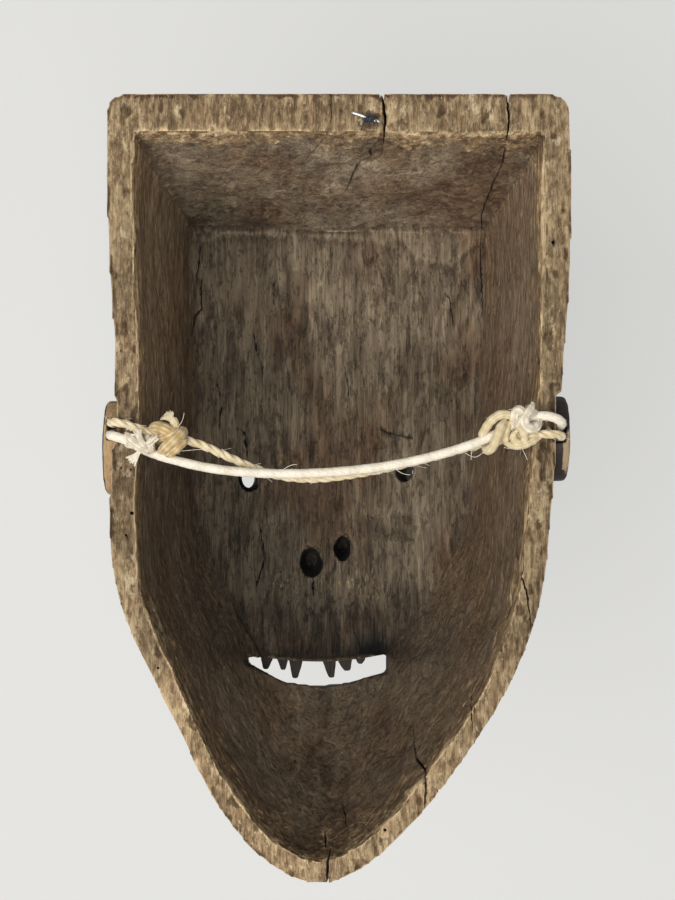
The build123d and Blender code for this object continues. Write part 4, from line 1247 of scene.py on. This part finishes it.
# Frayed ends, by the piece that they grow from: the places of the root, the neck and the tips, and
# the fibres' number, spread and thickness, a seed and the number of clumps.
FRAYED_ENDS = {
    "frayed_white_knot": [
        ((69.6, 125.6, -6.4), (71.6, 127.8, -6.6), [
            (77, 129.2, -5), (75.6, 130.6, -5.6), (74.6, 132.2, -6), (72.4, 133.4, -6),
        ], 84, 0.0006, 0.00034, 61, 6),
        ((70.6, 123.2, -7.4), (71.2, 121.6, -7.8), [
            (75.4, 121.6, -7), (72.6, 118.2, -7.4), (69.8, 118.6, -7),
        ], 44, 0.0005, 0.00032, 62, 5),
        ((68.2, 124.6, -8), (67, 123.4, -8.8), [
            (66, 121.4, -9), (64, 120.6, -9.4), (63.2, 123, -9),
        ], 20, 0.0006, 0.0003, 65, 4),
    ],
    "straw_tassel": [
        ((58.3, 117.6, -5.4), (59.4, 115.6, -6), [
            (64.6, 116, -5), (63.4, 114.2, -6), (61.8, 112.4, -6.4), (58.4, 112.2, -6),
        ], 70, 0.0007, 0.00036, 63, 7),
    ],
    "white_tuft": [
        ((-67.6, 111.8, -7.4), (-68.6, 110.8, -6.8), [
            (-67.6, 109.6, -6), (-68.8, 109, -6.4), (-69.8, 110.4, -6),
        ], 24, 0.0006, 0.0003, 64, 4),
    ],
}


def bundle(pile, line, diameter, ridges):
    """Adds a soft, barely twisted bundle of fibres along a line."""
    turn = 0.016

    def ripple(along, angle):
        ridge = np.cos(ridges * angle + 2 * math.pi * along / turn)
        fine = np.cos(19 * angle - 2 * math.pi * along / (0.7 * turn))
        return 0.09 * (0.5 + 0.5 * ridge) + 0.05 * (0.5 + 0.5 * fine) + 0.03 * np.sin(along * 2100)

    share_along = np.linspace(0, 1, len(line))
    ends = np.minimum(1, 0.45 + 3.2 * np.minimum(share_along, 1 - share_along))
    tube(pile, line, diameter / 2 * ends, 28, ripple)


def sighted(route):
    return [in_sight(*point) for point in route]


def knot(name, node, routes, material, ridges):
    """A knot made of short fat strands, with frayed ends or loose hairs."""
    pile = MeshPile()
    for seed, (route, diameter) in enumerate(routes):
        line = smooth_line(sighted(route))
        bundle(pile, line, diameter * MM, ridges)
        if name not in FRAYED_ENDS:
            hairs(pile, line, diameter * MM / 2, count=9, longest=0.0028, seed=90 + seed)
    for root, neck, tips, *shape in FRAYED_ENDS.get(name, ()):
        brush(pile, in_sight(*root), in_sight(*neck), sighted(tips), *shape)
    declare(pile.build(name, material, "hollow_dirt"), node)


def brush(pile, root, neck, tips, count, reach, thick, seed, clumps):
    """Adds a frayed end: fibres that leave a root together and fan out to a row of tips."""
    rng = np.random.default_rng(seed)
    for index in range(count):
        clump = math.floor(index / (count - 1) * clumps * 0.999)
        aim = (clump + 0.5) / clumps * (len(tips) - 1)
        low = min(int(aim), len(tips) - 2)
        tip = tips[low].lerp(tips[low + 1], aim - low)
        spill = Vector(rng.normal(0, 0.5, 3)) * reach
        end = tip + Vector(rng.normal(0, 0.35, 3)) * reach - (tip - neck) * rng.uniform(0, 0.22)
        middle = neck + spill * 0.9 + (end - neck) * 0.30
        line = smooth_line([root + spill * 0.7, neck + spill, middle, end])[::3]
        width = thick * rng.uniform(0.7, 1.2)
        tube(pile, line, width / 2 * np.linspace(1.0, 0.5, len(line)), 5)


def hairs(pile, line, radius, count, longest, seed):
    """Adds loose hairs that stand off a cord."""
    rng = np.random.default_rng(seed)
    line, side, up = line_frames(line)
    for index in rng.integers(4, len(line) - 4, count):
        angle = rng.uniform(0, 2 * math.pi)
        out = math.cos(angle) * side[index] + math.sin(angle) * up[index]
        ahead = line[index + 2] - line[index - 2]
        ahead *= rng.choice((-1, 1)) / np.linalg.norm(ahead)
        size = longest * rng.uniform(0.25, 1) ** 2
        start = line[index] + out * radius * 0.85
        bend = start + (ahead * 0.8 + out * rng.uniform(0.1, 0.6)) * size * 0.5
        end = bend + (ahead * rng.uniform(0.3, 0.9) + out * rng.uniform(-0.1, 0.8)) * size * 0.5
        end += rng.normal(0, 0.12, 3) * size
        tube(pile, smooth_line([start, bend, end])[::4], radius=0.00006, sides=4)


# Single stray fibres, as (u, v, depth) in millimetres.
STRAYS = [
    [(57.6, 119, -6), (56.6, 117.6, -6.4), (55.4, 115.4, -6.2), (55.1, 113.2, -6)],
    [(57, 127, -5), (54, 126.8, -4.6), (50.5, 126.4, -3), (47.6, 126.3, -1)],
    [(-64.4, 125, -6), (-65.4, 127.2, -6.6), (-66.9, 130.4, -6.8)],
    [(-58.4, 125.6, -4), (-60.8, 126.6, -4.4), (-63.4, 125.4, -5.2)],
    [(-44.6, 127.6, -2), (-46.8, 129.2, -2.8), (-49.6, 129, -3.2), (-51.8, 126.6, -3)],
    [(-46.9, 126.8, -3), (-46.7, 130.4, -3.2)],
    [(75.6, 119.6, -5.4), (74.4, 117.8, -5.8), (73.6, 118.4, -6.4)],
    [(20, 133.6, -3), (17, 131.4, -3.6), (15, 131.8, -3.4)],
    [(-20, 133.4, -3), (-22.5, 135.6, -3.6), (-25.4, 135.4, -3.2)],
]


def stopper(pile, middle, size, diameter, turn, straw):
    """Adds a tight overhand knot about a point."""
    count, points = 26, []
    for k in range(count):
        t = 2 * math.pi * (k + 0.5) / count * 0.94 + turn
        x = (math.sin(t) + 2 * math.sin(2 * t)) / 3
        y = (math.cos(t) - 2 * math.cos(2 * t)) / 3
        z = -math.sin(3 * t) * 0.55
        points.append(middle + Vector((z, y, x)) * size)
    line = smooth_line(points)
    if straw:
        strands(pile, line, diameter, lay=0.0095)
    else:
        braid(pile, line, diameter, sides=14)


# ---------------------------------------------------------------- operators
def declare(piece, node=None):
    """Attaches a piece to the root body and hides the node that it stands for."""
    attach(piece, "root")
    if node:
        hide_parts(node)


class MASK_OT_block(bpy.types.Operator):
    """Carves the mask's block, with its hollow, tool marks, cracks, beetle holes and paint"""

    bl_idname = "mask.block"
    bl_label = "Carved block"

    def execute(self, context):
        settings = context.scene.mask_wood
        detail = settings.detail * 1
        obj = even_block(detail)
        shape_block(obj, detail)
        paint_block(obj.data)
        thin_out(obj, BLOCK_TRIANGLES)
        painted = obj.data.copy()
        cut(obj, slit_pile())
        tree = BVHTree.FromObject(obj, context.evaluated_depsgraph_get())
        mesh = cut(obj, crack_pile(tree))
        carry_paint(painted, mesh)
        bpy.data.meshes.remove(painted)
        dress(obj, block_wood(settings))
        mesh.shade_smooth()
        mesh.set_sharp_from_angle(angle=math.radians(52))
        declare(obj, "mask_shell")
        return {"FINISHED"}


class MASK_OT_ears(bpy.types.Operator):
    """Carves the two ears, which are nailed to the block's sides"""

    bl_idname = "mask.ears"
    bl_label = "Ears"

    def execute(self, context):
        settings = context.scene.mask_wood
        detail = 0.00036
        for way, node, slot in ((1, "left_ear", "bare_ear_wood"), (-1, "right_ear", "painted_ear_wood")):
            obj = even_copy(node, f"carved_{node}", detail)
            shape_ear(obj, way)
            dress(obj, ear_wood(settings, way < 0))
            obj.data.shade_smooth()
            declare(obj, node)
        return {"FINISHED"}


class MASK_OT_nails(bpy.types.Operator):
    """Forges the four nails that hold the ears"""

    bl_idname = "mask.nails"
    bl_label = "Ear nails"

    def execute(self, context):
        pile = MeshPile()
        for way in (1, -1):
            for turn, (side, depth, down) in zip((14, 38), nail_heads(way)):
                nail(pile, way, side, depth, down, turn * way)
        piece = pile.build("forged_nails", iron())
        piece.data.shade_flat()
        declare(piece, "ear_nails")
        return {"FINISHED"}


class MASK_OT_teeth(bpy.types.Operator):
    """Whittles the six teeth that hang from the mouth's upper edge"""

    bl_idname = "mask.teeth"
    bl_label = "Teeth"

    def execute(self, context):
        material = tooth_wood(context.scene.mask_wood)
        for number in range(1, 7):
            obj = even_copy(f"tooth_{number}", f"whittled_tooth_{number}", detail=0.00028)
            shape_tooth(obj, seed=50 + number)
            dress(obj, material)
            obj.data.shade_smooth()
            declare(obj, f"tooth_{number}")
        return {"FINISHED"}


class MASK_OT_staple(bpy.types.Operator):
    """Finishes the wire staple that the mask hangs from, and ties the dark thread round it"""

    bl_idname = "mask.staple"
    bl_label = "Hanging staple and thread"

    def execute(self, context):
        dress(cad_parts["hanging_staple"], steel())
        low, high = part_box("thread_knot")
        middle, half = (low + high) / 2, (high - low) / 2
        pile = MeshPile()
        radius = min(half.y, half.z) * 0.62
        steps = 50  # in five turns
        coil = []
        for k in range(steps + 1):
            across = radius * (1 + 0.12 * math.sin(2.3 * k)) * math.cos(k * math.pi / 5)
            up = radius * (1 + 0.12 * math.cos(1.7 * k)) * math.sin(k * math.pi / 5)
            coil.append(middle + Vector((half.x * 0.72 * (2 * k / steps - 1), across, up)))
        tube(pile, smooth_line(coil), radius=0.0003, sides=6)
        ring = []
        for k in range(9):
            offset = (0.0012 * math.sin(k * 1.3), radius * 1.1 + 0.0003, 0.0011 * math.cos(k * 1.3))
            ring.append(middle + Vector(offset))
        tube(pile, smooth_line(ring), radius=0.0003, sides=6)
        for way, drop in ((1, 0.0046), (-1, 0.0032)):
            start = middle + Vector((0.0004 * way, radius, 0))
            bends = (0.0012, 0.0006, -0.0006), (0.0022, 0.0002, -0.5 * drop), (0.0026, -0.0003, -drop)
            tail = [start] + [start + Vector((x * way, y, z)) for x, y, z in bends]
            tube(pile, smooth_line(tail), radius=0.00024, sides=5)
        declare(pile.build("thread_wraps", thread_cotton()), "thread_knot")
        return {"FINISHED"}


class MASK_OT_knots(bpy.types.Operator):
    """Ties the knots on the head cords and frays their ends"""

    bl_idname = "mask.knots"
    bl_label = "Knots and frayed ends"

    def execute(self, context):
        settings = context.scene.mask_cord
        cotton = cord_fibre("knot_cotton", settings.white, linear("cbbfa6"), 0.0004)
        straw = cord_fibre("knot_straw", settings.straw, linear("cdbb92"), 0.0004)
        tan = cord_fibre("knot_tan", settings.tan, linear("b39663"), 0.0004)

        for name, node, slot, routes, material, ridges in (
            ("tied_left_knot", "left_knot", "straw_cord", LEFT_STRAW, tan, 8),
            ("tied_right_white_knot", "right_white_knot", "white_cord", RIGHT_WHITE, cotton, 5),
            ("tied_right_twisted_knot", "right_twisted_knot", "straw_cord", RIGHT_STRAW, straw, 7),
            ("frayed_white_knot", "left_frayed_knot", "white_cord", LEFT_FRAYED, cotton, 6),
            ("straw_tassel", "left_tassel", "straw_cord", LEFT_TAIL, straw, 8),
            ("white_tuft", None, "white_cord", (), cotton, 0),
        ):
            knot(name, node, routes, material, ridges)
        return {"FINISHED"}


class MASK_OT_stoppers(bpy.types.Operator):
    """Ties the knots that stop the cords in front of the ears"""

    bl_idname = "mask.stoppers"
    bl_label = "Stopper knots"

    def execute(self, context):
        settings = context.scene.mask_cord
        cotton = cord_fibre("stopper_cotton", settings.white, linear("cbbfa6"), 0.0004)
        straw = cord_fibre("stopper_straw", settings.straw, linear("c0a878"), 0.0004)
        for name in ("left", "right"):
            node = f"{name}_stopper_knot"
            middle = centre(node)
            white, twisted = MeshPile(), MeshPile()
            low, high = middle + Vector((0, 0, -0.0006)), middle + Vector((0, 0, 0.0006))
            stopper(white, low, size=0.0026, diameter=0.0031, turn=0.4, straw=False)
            stopper(twisted, high, size=0.0025, diameter=0.0028, turn=2.2, straw=True)
            for pile, seed, drop in ((white, 71, 0.004), (twisted, 72, 0.002)):
                root = middle + Vector((0, -0.0022, -0.0008))
                neck = root + Vector((0, -0.0024, -drop * 0.6))
                tips = [neck + Vector((x, -0.0040, -drop)) for x in (-0.0016, 0, 0.0016)]
                brush(pile, root, neck, tips, 26, reach=0.0007, thick=0.0003, seed=seed, clumps=5)
            piece = white.build(f"white_stopper_{name}", cotton, "hollow_dirt")
            declare(piece, node)
            piece = twisted.build(f"straw_stopper_{name}", straw, "hollow_dirt")
            declare(piece)
        return {"FINISHED"}


class MASK_OT_cords(bpy.types.Operator):
    """Runs the two head cords from ear to ear, with their loose hairs"""

    bl_idname = "mask.cords"
    bl_label = "Head cords"

    def execute(self, context):
        settings = context.scene.mask_cord
        white_line = smooth_line([place(*point) for point in WHITE_ROUTE])
        twisted_line = smooth_line([place(*point) for point in TWISTED_ROUTE])
        white, twisted, fluff = MeshPile(), MeshPile(), MeshPile()
        braid(white, white_line, 0.94 * settings.white_diameter, sides=16)
        strands(twisted, twisted_line, settings.twisted_diameter, settings.lay)
        cotton = cord_fibre("white_cotton", settings.white, linear("cabfa8"))
        straw = cord_fibre("straw_fibre", settings.straw, linear("bfa878"))
        white_cord = white.build("braided_cord", cotton, "hollow_dirt")
        twisted_cord = twisted.build("laid_cord", straw, "hollow_dirt")
        declare(white_cord, "white_cord")
        declare(twisted_cord, "twisted_cord")
        hairs(fluff, white_line, settings.white_diameter / 2, count=90, longest=0.004, seed=81)
        hairs(fluff, twisted_line, settings.twisted_diameter / 2, count=150, longest=0.006, seed=82)
        for stray in STRAYS:
            tube(fluff, smooth_line(sighted(stray))[::2], radius=0.00009, sides=5)
        fibre = cord_fibre("loose_fibre", settings.white, settings.straw)
        declare(fluff.build("loose_fibres", fibre))
        return {"FINISHED"}


class MASK_OT_stage(bpy.types.Operator):
    """Sets the camera, the lamps, the world and the backdrop"""

    bl_idname = "mask.stage"
    bl_label = "Stage"

    def execute(self, context):
        settings = context.scene.mask_stage
        scene = context.scene
        scene.view_settings.view_transform = "Standard"
        camera = bpy.data.cameras.new("camera")
        camera.lens = 54.08
        camera.clip_start = 0.01
        viewer = link("camera", camera)
        viewer.location = place_mm(VIEW_SIDE, -VIEW_DISTANCE, VIEW_DOWN)
        viewer.rotation_euler = (math.pi / 2, 0, math.pi)
        scene.camera = viewer

        lamp = bpy.data.lights.new("key", "AREA")
        lamp.shape = "RECTANGLE"
        lamp.size, lamp.size_y = 1.0, 0.8
        lamp.energy = settings.key_power
        lamp.color = (1.0, 0.975, 0.94)
        key = link("key", lamp)
        key.location = place(0.27, -0.95, 0.34)
        key.rotation_euler = (place(0, 0.03, 0.14) - key.location).to_track_quat("-Z", "Y").to_euler()

        scene.world = self.studio(settings)
        sheet = bpy.data.meshes.new("backdrop")
        back = -BLOCK_LOW.y / MM + PAPER_GAP
        corners = (1500, 1500), (-1500, 1500), (-1500, -1300), (1500, -1300)
        sheet.from_pydata([place_mm(side, back, down) for side, down in corners], [], [(0, 1, 2, 3)])
        backdrop = add_object("backdrop", sheet, self.paper(settings))
        return {"FINISHED"}

    @staticmethod
    def studio(settings):
        """A world that lights evenly from all sides and looks like pale paper."""
        s = Shader("studio", "worlds")
        even = s.node("ShaderNodeBackground", inputs={"Color": (1, 1, 1, 1), "Strength": settings.fill})
        pale = s.node("ShaderNodeBackground", inputs={"Color": (*linear("e9eaea"), 1)})
        camera = s.node("ShaderNodeLightPath", output="Is Camera Ray")
        surface = s.node("ShaderNodeMixShader", inputs={0: camera, 1: even, 2: pale})
        s.node("ShaderNodeOutputWorld", inputs={"Surface": surface})
        return s.owner

    @staticmethod
    def paper(settings):
        """White paper that fades out round the view, and shows only from the side that it lights."""
        s = Shader("paper")
        middle = place_mm(0, -BLOCK_LOW.y / MM + PAPER_GAP, VIEW_DOWN)
        away = s.node("ShaderNodeVectorMath", {"operation": "DISTANCE"}, {0: s.place, 1: middle}, "Value")
        behind = s.node("ShaderNodeNewGeometry", output="Backfacing")
        camera = s.node("ShaderNodeLightPath", output="Is Camera Ray")
        hidden = camera * away.maths("MAXIMUM", away.over(0.36, 0.70), behind)
        white = s.node("ShaderNodeBsdfDiffuse", inputs={"Color": (*settings.paper, 1)})
        even = s.node("ShaderNodeEmission", inputs={"Color": (*settings.paper, 1)})
        lifted = s.node("ShaderNodeMixShader", inputs={0: 0.5 * camera, 1: white, 2: even})
        clear = s.node("ShaderNodeBsdfTransparent")
        surface = s.node("ShaderNodeMixShader", inputs={0: hidden, 1: lifted, 2: clear})
        s.node("ShaderNodeOutputMaterial", inputs={"Surface": surface})
        return s.owner


OPERATORS = (
    MASK_OT_stage,
    MASK_OT_knots,
    MASK_OT_stoppers,
    MASK_OT_cords,
    MASK_OT_staple,
    MASK_OT_nails,
    MASK_OT_teeth,
    MASK_OT_ears,
    MASK_OT_block,
)
SETTINGS = {
    "mask_wood": MaskWoodSettings,
    "mask_cord": MaskCordSettings,
    "mask_stage": MaskStageSettings,
}


class MASK_PT_panel(bpy.types.Panel):
    """Lists the mask's settings and the steps that build it"""

    bl_idname = "MASK_PT_panel"
    bl_label = "Carved mask"
    bl_space_type = "VIEW_3D"
    bl_region_type = "UI"
    bl_category = "Mask"

    def draw(self, context):
        layout = self.layout
        for operator in OPERATORS:
            layout.operator(operator.bl_idname)
        for name, group in SETTINGS.items():
            box = layout.box()
            for field in group.__annotations__:
                box.prop(getattr(context.scene, name), field)


def register():
    for cls in (*SETTINGS.values(), *OPERATORS, MASK_PT_panel):
        bpy.utils.register_class(cls)
    for name, group in SETTINGS.items():
        setattr(bpy.types.Scene, name, bpy.props.PointerProperty(type=group))


def unregister():
    for name in SETTINGS:
        delattr(bpy.types.Scene, name)
    for cls in reversed((*SETTINGS.values(), *OPERATORS, MASK_PT_panel)):
        bpy.utils.unregister_class(cls)


def main():
    register()
    for operator in OPERATORS:
        group, name = operator.bl_idname.split(".")
        getattr(getattr(bpy.ops, group), name)()


if __name__ == "__main__":
    main()
